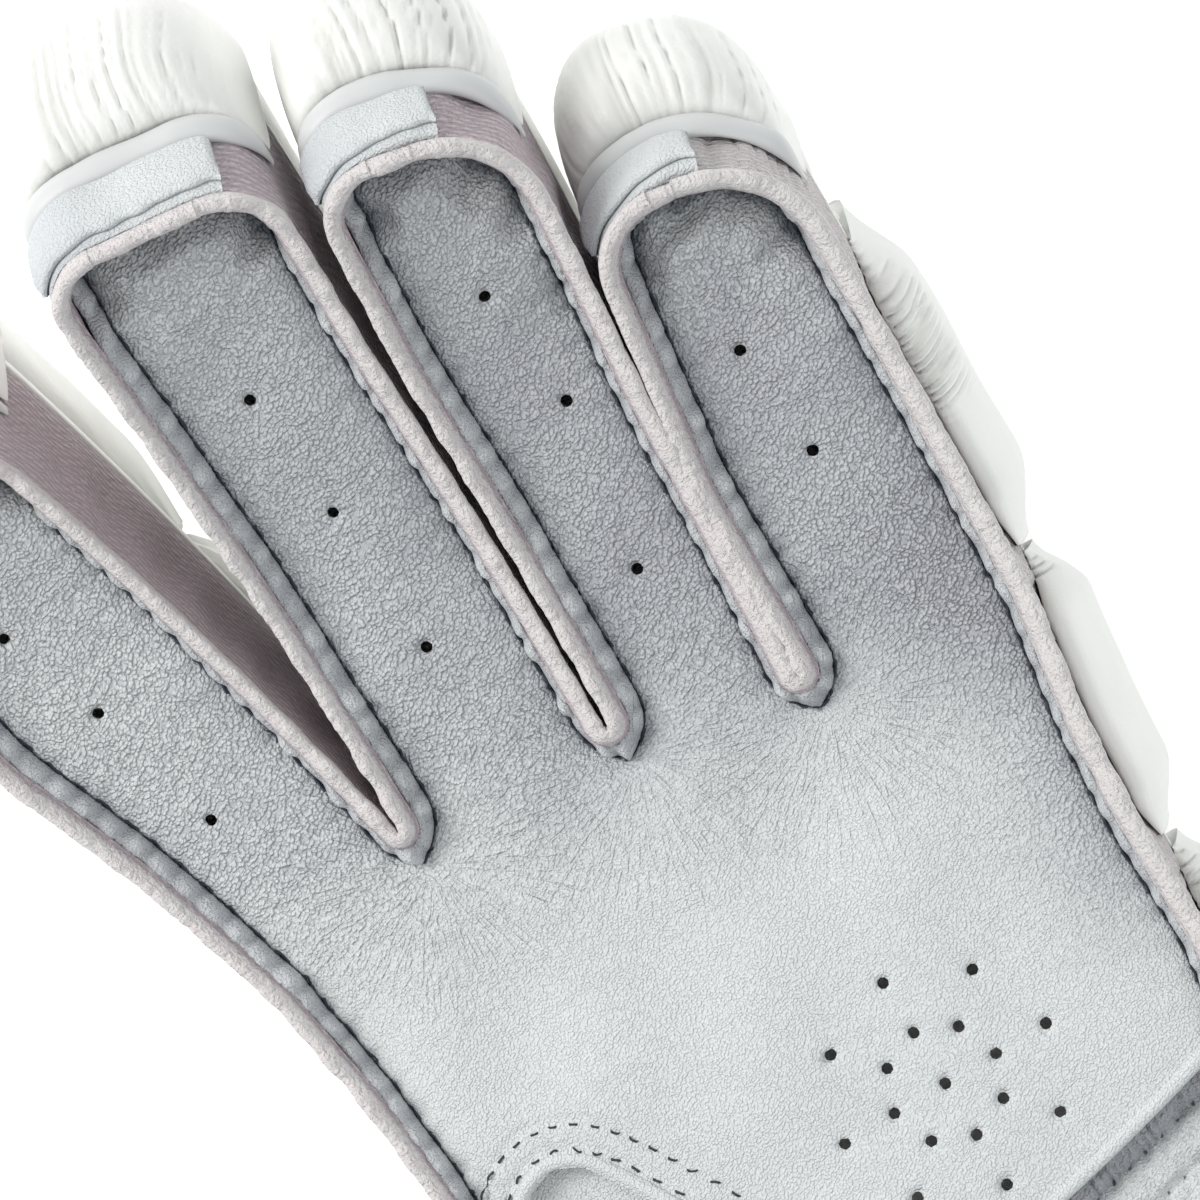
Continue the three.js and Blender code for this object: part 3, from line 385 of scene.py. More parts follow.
class Finish:
    """One procedural material: a Principled shader and the nodes that feed it."""

    def __init__(self, name, **constants):
        self.material = bpy.data.materials.new(name)
        self.material.use_nodes = True
        self.tree = self.material.node_tree
        self.shader = self.tree.nodes["Principled BSDF"]
        for key, value in constants.items():
            self.shader.inputs[key.replace("_", " ")].default_value = value

    def feed(self, socket, value):
        if isinstance(value, Value):
            self.tree.links.new(value.socket, socket)
        elif hasattr(value, "__len__") and len(value) == 3 and socket.type == "RGBA":
            socket.default_value = (*value, 1)
        else:
            socket.default_value = value

    def node(self, kind, settings=None, inputs=None, output=0):
        node = self.tree.nodes.new(kind)
        for key, value in (settings or {}).items():
            setattr(node, key, value)
        for key, value in (inputs or {}).items():
            self.feed(node.inputs[key], value)
        return Value(self, node.outputs[output])

    def place(self, scale=(1, 1, 1), turn=0.0):
        """Object coordinates, turned about the table's normal and then scaled."""
        place = self.node("ShaderNodeTexCoord", output="Object")
        turned = self.node("ShaderNodeVectorRotate", {"rotation_type": "Z_AXIS"},
                           {"Vector": place, "Angle": turn})
        return self.node("ShaderNodeVectorMath", {"operation": "MULTIPLY"},
                         {0: turned, 1: scale})

    def parts(self, vector):
        """The three parts of a vector as values."""
        split = self.node("ShaderNodeSeparateXYZ", None, {0: vector}).socket.node
        return [Value(self, socket) for socket in split.outputs]

    def join(self, x, y, z):
        return self.node("ShaderNodeCombineXYZ", None, {0: x, 1: y, 2: z})

    def attribute(self, name):
        return self.node("ShaderNodeAttribute", {"attribute_name": name}, output="Fac")

    def noise(self, place, scale, detail=2.0):
        return self.node("ShaderNodeTexNoise", None,
                         {"Vector": place, "Scale": scale, "Detail": detail})

    def cells(self, place, scale, feature="F1"):
        return self.node("ShaderNodeTexVoronoi", {"feature": feature},
                         {"Vector": place, "Scale": scale})

    def mix(self, share, first, second):
        """Colour that goes from the first to the second as the share goes from 0 to 1."""
        return self.node("ShaderNodeMix", {"data_type": "RGBA"},
                         {0: share, 6: first, 7: second}, output=2)

    def bump(self, height, distance, strength=1.0):
        bump = self.node("ShaderNodeBump", None,
                         {"Height": height, "Distance": distance, "Strength": strength})
        self.feed(self.shader.inputs["Normal"], bump)

    def colour(self, value):
        self.feed(self.shader.inputs["Base Color"], value)

    def roughness(self, value):
        self.feed(self.shader.inputs["Roughness"], value)


# Painted light and shade: the first two colours are a lit and a shaded copy of the one white
# leather.
LEATHER_LIGHT, LEATHER_SHADE = (0.755, 0.785, 0.785), (0.47, 0.48, 0.505)
# Painted shade: a darker colour for the grain's valleys and a darkest one for creases and recesses.
LEATHER_VALLEY_SHADE, LEATHER_CREASE_SHADE = (0.25, 0.26, 0.285), (0.125, 0.145, 0.17)


def palm_leather_finish(name, light, shade, grain, crease_shade, fans=()):
    """Matt leather whose grain is drawn out across the fingers: domed cells, longer wrinkles, and
    rays that fan out from the crotches, with painted shade in the valleys between them. A point
    attribute of painted light and shade goes from the shaded to the light leather, worn raises the
    grain and its painted valley shade, and seam is the distance to a crease, near which the colour
    is darkened as painted shade."""
    finish = Finish(name, Specular_IOR_Level=0.3)
    light_and_shade, worn = finish.attribute("light_and_shade"), finish.attribute("worn")
    warp = finish.noise(finish.place(), 260, 2) - 0.5
    drawn = finish.place((0.78, 1.0, 0.9), -0.50)
    shifted = finish.node("ShaderNodeVectorMath", {"operation": "ADD"},
                          {0: drawn, 1: warp * 0.0009})
    cell, small = finish.cells(shifted, 2200), finish.cells(shifted, 3300)
    coarse = (1 - cell * cell * 1.5).step(0.05, 0.95)
    fine = (1 - small * small * 1.5).step(0.05, 0.95)
    dome = coarse * worn + fine * (1 - worn)
    pore = finish.noise(shifted, 3600, 1)
    line = (finish.noise(finish.place((0.42, 1.0, 0.8), -0.42), 520, 2) - 0.5)
    wrinkle = (line.maths("ABSOLUTE") * 12).step(0, 1)
    rays = 1.0
    x, y, _ = finish.parts(finish.place())
    for number, (cx, cs) in enumerate(fans):
        dx, dy = x - (cx - ORIGIN_X) / 1000, (cs - ORIGIN_S) / 1000 - y
        far = (dx * dx + dy * dy) ** 0.5
        turn = dx.maths("ARCTAN2", dy)
        for rate, first, last in ((5, 0.0008, 0.011), (11, 0.006, 0.026)):
            place = finish.join(turn * rate, far * 130, 3.7 * number + rate)
            ray = (finish.noise(place, 1.0, 2) - 0.5).maths("ABSOLUTE") * 10
            weight = far.step(first, first + 0.004) * (1 - far.step(last * 0.5, last))
            rays = rays - (1 - ray.step(0, 1)) * weight
    height = (dome * 0.60 + pore * 0.10) * (worn * 0.75 + 0.25)
    height = height + wrinkle * worn * worn * 0.26 + rays * 0.24
    finish.bump(height, 0.00062, 1.0)
    patches = finish.noise(finish.place(), 55, 3).step(0.3, 0.7)
    # Painted light and shade: the leather goes from its shaded to its lit copy by a point
    # attribute, with random patches of its own tone.
    body = finish.mix((light_and_shade + patches * 0.16 - 0.08).step(0, 1), shade, light)
    # Painted shade in the valleys of the grain, the wrinkles and the crotch rays, deeper where the
    # grain is worn.
    valley_shade = (1 - dome) * (worn * 0.36 + 0.06) + (1 - wrinkle) * worn * worn * 0.12
    valley_shade = valley_shade + (1 - rays) * 0.05
    body = finish.mix(valley_shade, body, grain)
    # Painted shade: near a crease, and where the seam value is set low in recesses and slots, the
    # colour is darkened towards the crease colour.
    seam = finish.attribute("seam")
    finish.colour(finish.mix(1 - (seam + pore * 0.25).step(0.0, 0.8), body, crease_shade))
    finish.roughness(0.68 - dome * 0.14)
    return finish.material


palm_finish = palm_leather_finish("palm_leather", LEATHER_LIGHT, LEATHER_SHADE, LEATHER_VALLEY_SHADE,
                                  LEATHER_CREASE_SHADE, CROTCH_PLACES)

# The seam of the side walls, which the leather's turned edge follows: from the wrist
# round the thumb and the fingers to the wrist below the little finger.
for finger in FINGERS:
    tip_left, tip_right = finger["left"][-1], finger["right"][-1]
    finger["left_seam"] = side_curve(finger["left"], tip_right, finger["corners"][0])
    finger["right_seam"] = side_curve(finger["right"], tip_left, finger["corners"][1])
thumb_lower = side_curve(THUMB_LOWER, THUMB_UPPER[-1], THUMB_CORNERS[1])
thumb_upper = side_curve(THUMB_UPPER, THUMB_LOWER[-1], THUMB_CORNERS[0])
seam_parts = []
seam_marks = {}


def crotch_arc(a, b):
    """Half circle from a to b, on the side towards the wrist."""
    centre = (a + b) / 2
    turn = math.atan2(*(a - centre)[::-1]) + math.pi * np.linspace(0, 1, 9)[1:-1]
    return centre + np.hypot(*(a - centre)) * np.stack([np.cos(turn), np.sin(turn)], -1)


def add_seam(points, mark=None):
    """Adds points to the seam and marks the last one."""
    seam_parts.append(np.atleast_2d(points))
    if mark:
        seam_marks[mark] = sum(len(p) for p in seam_parts) - 1


tip_shares = np.linspace(0, 1, 14)[1:-1]
add_seam(thumb_lower)
add_seam(along([thumb_lower[-1], thumb_upper[-1]], tip_shares))
add_seam(thumb_upper[::-1])
add_seam(crotch_arc(thumb_upper[0], np.array(RADIAL_SEAM[-1])))
add_seam(RADIAL_SEAM[-1], "index_side")
add_seam(smooth(along(RADIAL_SEAM[::-1], np.linspace(0, 1, 50)), 3)[1:-1])
for f, finger in enumerate(FINGERS):
    left, right = finger["left_seam"], finger["right_seam"]
    add_seam(left[:-CORNER_ROWS], finger["name"] + "_left_start")
    add_seam(left[-CORNER_ROWS:], finger["name"] + "_left_corner")
    add_seam(along([left[-1], right[-1]], tip_shares))
    add_seam(right[-1], finger["name"] + "_right_corner")
    add_seam(right[-2:-CORNER_ROWS - 1:-1], finger["name"] + "_right_end")
    add_seam(right[-CORNER_ROWS - 1::-1])
    if f < 3:
        add_seam(crotch_arc(right[0], FINGERS[f + 1]["left_seam"][0]))
add_seam(smooth(along(ULNAR_SEAM, np.linspace(0, 1, 130)), 3)[1:])
seam = np.vstack(seam_parts)
seam_length = lengths_along(seam)
seam_marks = {name: seam_length[index] for name, index in seam_marks.items()}
seam_marks["start"], seam_marks["end"] = 0.0, seam_length[-1]
seam_out = smooth(left_normals(seam), 1.0)


def seam_at(place):
    """Points of the seam and its unit outward normals at running lengths."""
    point = np.stack([np.interp(place, seam_length, c) for c in seam.T], -1)
    out = np.stack([np.interp(place, seam_length, c) for c in seam_out.T], -1)
    return point, out / np.hypot(*out.T)[:, None]


def inset_side(seam, right, inset):
    """A side seam moved into the finger by the inset."""
    return seam + left_normals(seam) * (inset if right else -inset)


def hand_grid(left_inset, right_inset, crotch_drop, hem, wrist_left, wrist_right, columns):
    """Plan of a hand-shaped sheet: four fingers of so many columns each, whose first rows
    lie on the line between their crotch points, and a palm block below that ends at the
    hem. Returns the points, the quads and the seamed edge's vertex numbers in order."""
    crotches = []
    for one, other in zip(FINGERS, FINGERS[1:]):
        a, b = one["right_seam"][0], other["left_seam"][0]
        crotches.append((a + b) / 2 - [0, np.hypot(*(a - b)) / 2 + crotch_drop])
    corners = [np.array(wrist_left[0]), *crotches, np.array(wrist_right[0])]
    shares = np.arange(columns) / columns
    top = [a + (b - a) * shares[:, None] for a, b in zip(corners, corners[1:])]
    points = [*top, corners[-1][None]]
    count = 4 * columns + 1
    faces, finger_grids = [], []
    quarter = np.arange(ROOT_ROWS)[:, None] / ROOT_ROWS
    for f, finger in enumerate(FINGERS):
        sides = []
        for key, inset, corner, crotch in (("left", left_inset, corners[f], f > 0),
                                           ("right", right_inset, corners[f + 1], f < 3)):
            curve = inset_side(finger[key + "_seam"], key == "right", inset)
            bow = np.hstack([np.sin(quarter * math.pi / 2), 1 - np.cos(quarter * math.pi / 2)])
            share = 0.6 * bow + 0.4 * quarter if crotch else np.hstack([quarter, quarter])
            root = corner + (curve[0] - corner) * share
            sides.append(smooth(np.vstack([root, curve]), 1.5)[1:])
        across = np.linspace(0, 1, columns + 1)[None, :, None]
        block = sides[0][:, None] + (sides[1] - sides[0])[:, None] * across
        numbers = count + np.arange(block.shape[0] * block.shape[1]).reshape(block.shape[:2])
        first = f * columns + np.arange(columns + 1)[None]
        finger_grids.append(np.vstack([first, numbers]))
        faces.append(grid_faces(finger_grids[-1]))
        points.append(block.reshape(-1, 2))
        count += numbers.size
    top_line = np.vstack(points[:5])
    down = np.linspace(0, 1, PALM_ROWS + 1)[1:]
    hem_line = smooth(along_index(hem, 4 * columns + 1), 1.5)
    left, right = (along(smooth(along(line, np.linspace(0, 1, 60)), 2.0), down)
                   for line in (wrist_left, wrist_right))
    straight = top_line + (hem_line - top_line) * down[:, None, None]
    across = np.linspace(0, 1, 4 * columns + 1)[None, :, None]
    shift_left = (left - straight[:, 0])[:, None]
    shift_right = (right - straight[:, -1])[:, None]
    block = straight + (1 - across) * shift_left + across * shift_right
    numbers = count + np.arange(block.shape[0] * block.shape[1]).reshape(block.shape[:2])
    palm_grid = np.vstack([np.arange(4 * columns + 1)[None], numbers])
    faces.append(grid_faces(palm_grid)[:, ::-1])
    points.append(block.reshape(-1, 2))
    edge = [palm_grid[:0:-1, 0], palm_grid[:1, 0]]
    for f, grid in enumerate(finger_grids):
        edge += [grid[1:, 0], grid[-1, 1:], grid[-2:0:-1, -1], grid[:1, -1]]
    edge.append(palm_grid[1:, -1])
    return np.vstack(points), np.vstack(faces), np.concatenate(edge)


radial_line = np.array(RADIAL_SEAM[1:], float)
palm_radial = inset_side(radial_line[::-1], False, LEFT_INSET - 0.4)[::-1]
palm_radial[-1] = PALM_HEM[0]
ulnar_line = np.array([p for p in ULNAR_SEAM[1:] if p[1] > PALM_HEM[-1][1]], float)
palm_ulnar = np.vstack([inset_side(ulnar_line[::-1], True, RIGHT_INSET)[::-1], PALM_HEM[-1]])
plan, palm_faces, palm_edge = hand_grid(
    LEFT_INSET, RIGHT_INSET, CROTCH_DROP, PALM_HEM, palm_radial, palm_ulnar, COLUMNS)
holes = np.array([*FINGER_HOLES, *(
    (HOLE_CENTRE[0] + radius * math.cos(2 * math.pi * i / count + HOLE_TURN),
     HOLE_CENTRE[1] + radius * math.sin(2 * math.pi * i / count + HOLE_TURN))
    for radius, count in HOLE_RINGS for i in range(count))])


def punch(plan, faces, holes, radius):
    """Takes out the quads whose middles lie in a hole and moves the vertices left on the
    hole's rim onto its circle."""
    middles = plan[faces].mean(1)
    gap, _ = nearest(middles, holes)
    out = gap < radius * 1.1
    rim = np.intersect1d(faces[out].ravel(), faces[~out].ravel())
    distance, which = nearest(plan[rim], holes)
    away = (plan[rim] - holes[which]) / distance[:, None]
    plan = plan.copy()
    plan[rim] = holes[which] + away * radius
    return plan, faces[~out]


def stitch_places(length, seed):
    """Running lengths of the stitches of a seam, at an uneven pitch, half a pitch in."""
    random = np.random.default_rng(seed)
    steps = STITCH_PITCH * random.uniform(0.86, 1.14, int(length / STITCH_PITCH) + 2)
    places = np.cumsum(steps) - steps[0] / 2
    return places[places < length - 1]


def stitch_gap(place, stitches):
    """Distance along the seam to the nearest stitch."""
    after = np.clip(np.searchsorted(stitches, place), 1, len(stitches) - 1)
    return np.minimum(np.abs(place - stitches[after - 1]), np.abs(stitches[after] - place))


def leather_relief(x, s, from_seam, gap):
    """Height of worn palm leather over its flat cut: a pillow from seam to seam, soft
    swells, creases that slant across the fingers, and a pulled dent at each stitch."""
    relief = 0.30 * ripples(x, s, 3, 24)
    patch = rise(ripples(x, s, 5, 30), -0.7, 0.8)
    fingers = 0.35 + 0.65 * rise(s, -16, 12)
    slant = valleys(ripples(x, s, 7, 5.2, math.radians(120), 0.30), 0.30)
    cross = valleys(ripples(x, s, 9, 6.5, math.radians(95), 0.45), 0.26)
    fine = valleys(ripples(x, s, 11, 2.9, math.radians(115), 0.35), 0.40)
    relief -= fingers * (0.20 * patch * slant + 0.17 * (1 - patch) * cross + 0.10 * fine)
    edge = np.exp(-from_seam / 2.2)
    pucker = valleys(ripples(x, s, 13, 2.7), 0.5)
    relief -= 0.16 * pucker * np.exp(-from_seam / 3.5)
    relief += PILLOW * (1 - edge) + 0.42 * edge * (rise(gap, 0, 1.7) - 1)
    return relief


def turned_edge(line, foot_height, top_height, stitches):
    """Closed strip of leather turned up from an edge line to the rim of the side walls.
    It rises, leans out to meet the cloth, and puffs out between the stitches. Returns the points,
    the quads, and the values of its points: painted light and shade, darker at the foot and lighter
    up the strip and on the puffs; wear; and a seam value that paints shade at the foot and round
    the stitches."""
    place = lengths_along(line)
    fine = np.arange(0, seam_length[-1], 0.3)
    _, index = nearest(line, seam_at(fine)[0])
    matched = np.maximum.accumulate(fine[index])
    matched = smooth(matched[:, None], 6.0)[:, 0]
    top, out = seam_at(matched)
    lean = (top - out * RIM_INNER) - line
    fade = np.minimum(rise(place, 0, 5), rise(place[-1] - place, 0, 5))[:, None]
    gap = stitch_gap(place, stitches)[:, None]
    puff = rise(gap, -0.25, 1.5) * (1 + 0.35 * ripples(place[:, None], 0, 91, 9, 0, 0.3))
    up = np.linspace(0, 1, 9)[None]
    swell = np.sin(np.pi * up ** 0.8)
    crease = 0.10 * valleys(ripples(place[:, None], up * 3, 92, 2.2, 0.2, 0.5), 0.4)
    sideways = up ** 1.35 - (0.22 * puff - 0.06 + crease) * swell
    height = (1 - (1 - up) ** 1.8) + (0.16 * puff - 0.06) * swell - 0.5 * crease
    height = foot_height[:, None] - 0.35 + (top_height + 0.35) * height * (0.08 + 0.92 * fade)
    x = line[:, None, 0] + lean[:, None, 0] * sideways
    s = line[:, None, 1] + lean[:, None, 1] * sideways
    back_side = np.array([1.12, 1.08, 0.90, 0.60, 0.25])[None]
    back_drop = np.array([0.3, 0.9, 1.4, 1.6, 1.3])[None]
    x = np.hstack([x, line[:, None, 0] + lean[:, None, 0] * back_side])
    s = np.hstack([s, line[:, None, 1] + lean[:, None, 1] * back_side])
    height = np.hstack([height, height[:, [8, 8, 7, 5, 2]] - back_drop * fade - 0.02])
    faces = tube_faces(np.arange(x.size).reshape(x.shape))
    # Painted light and shade: the strip is darker at its foot and lighter up its face and on the
    # puffs, and its seam value paints shade at the foot and round each stitch.
    shade = (0.08 + 0.36 * up + 0.26 * puff * swell).clip(0, 1)
    light_and_shade = np.hstack([shade, np.repeat(shade[:, -1:], 5, 1)])
    depth = np.hstack([0.15 + 4.5 * up + 0 * puff, np.full((len(place), 5), 3.0)])
    depth = np.minimum(depth, 0.25 + 1.1 * gap + 1.2 * np.hstack([up, np.ones((1, 5))]))
    return bend(x, s, height).reshape(-1, 3), faces, {
        "light_and_shade": light_and_shade.ravel(), "worn": np.full(x.size, 0.4), "seam": depth.ravel()}


plan, palm_faces = punch(plan, palm_faces, holes, HOLE_RADIUS)
edge_line = plan[palm_edge]
edge_length = lengths_along(edge_line)
palm_stitches = stitch_places(edge_length[-1], 1)
seam_distance, seam_index = nearest(plan, edge_line)
x, s = plan.T
relief = leather_relief(x, s, seam_distance, stitch_gap(edge_length[seam_index], palm_stitches))
tip_curves = [np.vstack([f["left_seam"][-CORNER_ROWS:], f["right_seam"][:-CORNER_ROWS - 1:-1]])
              for f in FINGERS]
tip_gap, _ = nearest(plan, np.vstack([evenly(curve, 0.5) for curve in tip_curves]))
tip_gap += 0.8 * ripples(x, s, 15, 8)
recess = 1 - rise(tip_gap, RIGHT_INSET + 0.6, RIGHT_INSET + TIP_RECESS)
swag = 1 - rise(tip_gap, RIGHT_INSET, RIGHT_INSET + 13)
pull = valleys(ripples(edge_length[seam_index], 0.15 * seam_distance, 14, 4.2, 0, 0.15), 0.42)
pull *= swag * np.exp(-seam_distance / 4.5)
relief -= RECESS_DEPTH * recess + 0.8 * swag + 0.6 * pull
arch_gap, _ = nearest(plan, evenly(PALM_HEM[1:10], 0.5))
for offset in ARCH_ROWS:
    relief -= 0.22 * np.exp(-((arch_gap - offset) / 0.5) ** 2)
hole_gap, _ = nearest(plan, holes)
relief -= 0.25 * np.exp(-((hole_gap - HOLE_RADIUS) / 0.7) ** 2)
# Painted shade along the ulnar seam, where the grain is also more worn.
ulnar_gap, _ = nearest(plan, along(ULNAR_SEAM, np.linspace(0, 1, 200)))
ulnar_wear_and_shade = np.exp(-(ulnar_gap / 15) ** 2) * rise(s, -62, -30)
# Painted shade up the fingers, more so towards the little finger, and painted light towards the
# fingertips.
palm_light_and_shade = 1 - rise(s, -24, 16) * (0.36 + 0.32 * rise(x, -32, 12)) + 0.35 * swag
palm_light_and_shade -= 0.55 * ulnar_wear_and_shade * rise(-s, -45, -5)
palm_worn = (0.26 + 0.6 * rise(s, -22, 12) + 0.6 * ulnar_wear_and_shade).clip(0, 1)
# The seam value paints shade near the crease, deepest in the fingertip recesses, and the puckers at
# the tips are painted darker.
palm_piece = make_piece(
    "palm_leather_sheet", bend(x, s, PALM_TOP + relief), palm_faces, palm_finish,
    closed=False, values={"seam": seam_distance * (1 - recess) + 0.12 * recess * (1 - pull),
                          "light_and_shade": palm_light_and_shade - 0.3 * pull, "worn": palm_worn})


def thicken(piece, wall):
    """Gives an open sheet its wall below the surface that shows."""
    solidify = piece.modifiers.new("wall", "SOLIDIFY")
    solidify.thickness = wall / 1000
    solidify.offset = -1


thicken(palm_piece, LEATHER_WALL)
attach(palm_piece, "root")
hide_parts("palm_leather")

fine_edge = evenly(edge_line, EDGE_STEP)
fine_place = lengths_along(fine_edge)
foot = PALM_TOP + np.interp(fine_place, edge_length, relief[palm_edge])
points, faces, values = turned_edge(fine_edge, foot, FLANGE_HEIGHT, palm_stitches)
palm_turned = make_piece("palm_turned_edge", points, faces, palm_finish, values=values)
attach(palm_turned, "root")


# Stitching. Thread runs in the crease below every turned edge: it surfaces as a short knot at each
# needle hole, about 4 mm apart, and as a thin line between them. The thread is coloured near black
# as painted shade of the deep crease.
THREAD_ROUND = 6


def thread_points(line, heights, stitches, seed, thick=0.27, sunk=0.0, reach=0.95):
    """Rings of a thread that runs along a crease: a dash of half length reach, with a knot
    at each end, where a stitch shows, and a thin line, sunk into the leather, between."""
    place = lengths_along(line)
    gap = stitch_gap(place, stitches)
    dash = 1 - rise(gap, reach, reach + 0.35)
    knot = np.exp(-((gap - reach) / 0.28) ** 2)
    radius = 0.06 + (thick - 0.06) * dash * (0.62 + 0.38 * knot)
    out = left_normals(line)
    wander = 0.10 * ripples(place, 0 * place, seed, 2.6, 0, 0.3) - thick * dash
    middle = line + out * wander[:, None]
    middle_height = heights + 0.6 * thick * dash - sunk * (1 - dash)
    turn = np.linspace(0, 2 * math.pi, THREAD_ROUND, endpoint=False)[None]
    x, s = beside(middle, out, radius[:, None] * np.cos(turn))
    h = middle_height[:, None] + radius[:, None] * np.sin(turn)
    return bend(x, s, h).reshape(-1, 3), tube_faces(np.arange(x.size).reshape(x.shape))


# Painted shade: the thread is given a near-black colour for the crease it lies in.
thread_shade_finish = Finish("thread_in_painted_shade", Base_Color=(0.030, 0.040, 0.055, 1), Roughness=0.7).material
points, faces = thread_points(fine_edge, foot, palm_stitches, 95)
stitching = make_piece("palm_stitching", points, faces, thread_shade_finish)
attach(stitching, "root")


# Thumb leather and heel panel. The thumb and its mound are one separate sheet, tucked
# under the arch in the palm leather. The heel is a padded panel of the same leather,
# quilted in rows and tucked under the palm's lower edge.
HEM_UNDERLAP = 6
THUMB_HEEL_X = (1, -12, -22, -30, -35)
THUMB_INSET = 2.3
THUMB_COLUMNS, TUCK_ROWS, HEEL_ROWS, HEEL_COLUMNS = 46, 64, 110, 150
HEEL_WALL = 3
HEEL_FOOT_X = 45.4
QUILT_START, QUILT_PITCH, TIE_PITCH = 3.8, 5.5, 2.6
HEEL_SINK = 0.9

upper_edge = inset_side(thumb_upper, True, THUMB_INSET)
lower_edge = inset_side(thumb_lower, False, THUMB_INSET)
tuck = [(PALM_HEM[8][0] + HEM_UNDERLAP, PALM_HEM[8][1] + HEM_UNDERLAP / 2),
        (PALM_HEM[6][0] + HEM_UNDERLAP, PALM_HEM[6][1] + HEM_UNDERLAP / 2),
        (PALM_HEM[4][0], PALM_HEM[4][1] + HEM_UNDERLAP),
        (PALM_HEM[1][0] - 1, PALM_HEM[1][1] + 2.4), upper_edge[0]]
tuck_line = smooth(along_index(tuck, TUCK_ROWS + 1), 2.0)
heel_line = along_index([*((x, WRIST_S) for x in THUMB_HEEL_X), lower_edge[0]], TUCK_ROWS + 1)
upper_line = np.vstack([tuck_line[:-1], upper_edge])
lower_line = np.vstack([heel_line[:-1], lower_edge])
across = np.linspace(0, 1, THUMB_COLUMNS + 1)[None, :, None]
block = lower_line[:, None] + (upper_line - lower_line)[:, None] * across
thumb_index = np.arange(block.shape[0] * block.shape[1]).reshape(block.shape[:2])
thumb_plan = block.reshape(-1, 2)
thumb_edge = np.concatenate([thumb_index[TUCK_ROWS:, 0], thumb_index[-1, 1:-1],
                             thumb_index[:TUCK_ROWS - 1:-1, -1]])
thumb_line = thumb_plan[thumb_edge]
thumb_length = lengths_along(thumb_line)
thumb_stitches = stitch_places(thumb_length[-1], 2)
from_seam, seam_index = nearest(thumb_plan, thumb_line)
x, s = thumb_plan.T
thumb_relief = leather_relief(x, s, from_seam, stitch_gap(thumb_length[seam_index],
                                                          thumb_stitches))
arch_gap, _ = nearest(thumb_plan, along(PALM_HEM[:10], np.linspace(0, 1, 200)))
thumb_relief = thumb_relief * 0.9 - 0.8
thumb_relief -= 0.25 * valleys(ripples(x, s, 61, 5, 0.6, 0.5), 0.3) * np.exp(-arch_gap / 6)
# The seam value paints shade near the crease, as on the palm.
thumb_piece = make_piece(
    "thumb_leather_sheet", bend(x, s, UNDER_PALM + thumb_relief), grid_faces(thumb_index),
    palm_finish, closed=False,
    values={"seam": from_seam, "light_and_shade": np.full(len(x), 1.0), "worn": np.full(len(x), 0.35)})
thicken(thumb_piece, LEATHER_WALL)
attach(thumb_piece, "root")
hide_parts("thumb_leather")

fine_edge = evenly(thumb_line, EDGE_STEP)
fine_place = lengths_along(fine_edge)
foot = UNDER_PALM + np.interp(fine_place, thumb_length, thumb_relief[thumb_edge])
points, faces, values = turned_edge(fine_edge, foot, FLANGE_HEIGHT + 1.5, thumb_stitches)
thumb_turned = make_piece("thumb_turned_edge", points, faces, palm_finish, values=values)
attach(thumb_turned, "root")
points, faces = thread_points(fine_edge, foot, thumb_stitches, 96)
stitching = make_piece("thumb_stitching", points, faces, thread_shade_finish)
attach(stitching, "root")

heel_top = along_index([(PALM_HEM[9][0] + 1.5, PALM_HEM[9][1] + HEM_UNDERLAP),
                        (PALM_HEM[16][0], PALM_HEM[16][1] + HEM_UNDERLAP)], HEEL_COLUMNS + 1)
heel_foot = along_index([(THUMB_HEEL_X[0] + 0.4, WRIST_S), (HEEL_FOOT_X, WRIST_S)],
                        HEEL_COLUMNS + 1)
down = np.linspace(0, 1, HEEL_ROWS + 1)[:, None, None]
block = heel_top + (heel_foot - heel_top) * down
x, s = block[..., 0], block[..., 1]
below_hem = (np.interp(x, *np.array(PALM_HEM[9:]).T) - s).clip(-3, 99)
gathered = 1 - rise(below_hem, 3.4, 4.2)
folds = valleys(ripples(x, s * 0.3, 62, 2.1, 0, 0.15), 0.5)
row = (below_hem - QUILT_START) / QUILT_PITCH
row_gap = np.abs(row - np.round(row)) * QUILT_PITCH + 9 * (below_hem < 2)
tie_gap = np.abs(x / TIE_PITCH - np.round(x / TIE_PITCH)) * TIE_PITCH
pull = np.exp(-(row_gap / 0.9) ** 2)
relief = -HEEL_SINK * (1 + pull) - 0.5 * pull * np.exp(-(tie_gap / 0.6) ** 2)
relief += 0.10 * ripples(x, s, 63, 3.0) - gathered * (0.7 * folds + 0.3)
sides = np.minimum(rise(np.arange(HEEL_COLUMNS + 1), 0, 2),
                   rise(np.arange(HEEL_COLUMNS, -1, -1), 0, 2))[None]
top_height = (UNDER_PALM + relief * rise(below_hem, -1.5, 0)) * sides + (UNDER_PALM - 1.6) * (
    1 - sides)
top_points = bend(x, s, top_height)
under_points = bend(x, s, np.full_like(x, UNDER_PALM - HEEL_WALL))
count = x.size
index = np.arange(count).reshape(x.shape)
rim = np.concatenate([index[0, :-1], index[:-1, -1], index[-1, :0:-1], index[:0:-1, 0]])
faces = np.vstack([grid_faces(index), grid_faces(index + count)[:, ::-1],
                   grid_faces(np.stack([rim, rim + count]), close_columns=True)])
# Painted shade: dark dots at the quilting ties, darker quilted rows and folds, and the gathered
# strip under the palm's edge painted darker.
tie = np.exp(-(row_gap / 0.40) ** 2 - (tie_gap / 0.34) ** 2)
values = {"light_and_shade": 1 - 0.75 * gathered, "worn": 0.5 + 0 * x,
          "seam": 2.4 - 2.4 * tie - 0.6 * pull - 1.1 * gathered * folds}
heel = make_piece("heel_pad", np.vstack([top_points.reshape(-1, 3), under_points.reshape(-1, 3)]),
                  faces, palm_finish, values={key: np.tile(v.ravel(), 2) for key, v in
                                              values.items()})
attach(heel, "root")
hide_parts("heel_panel")


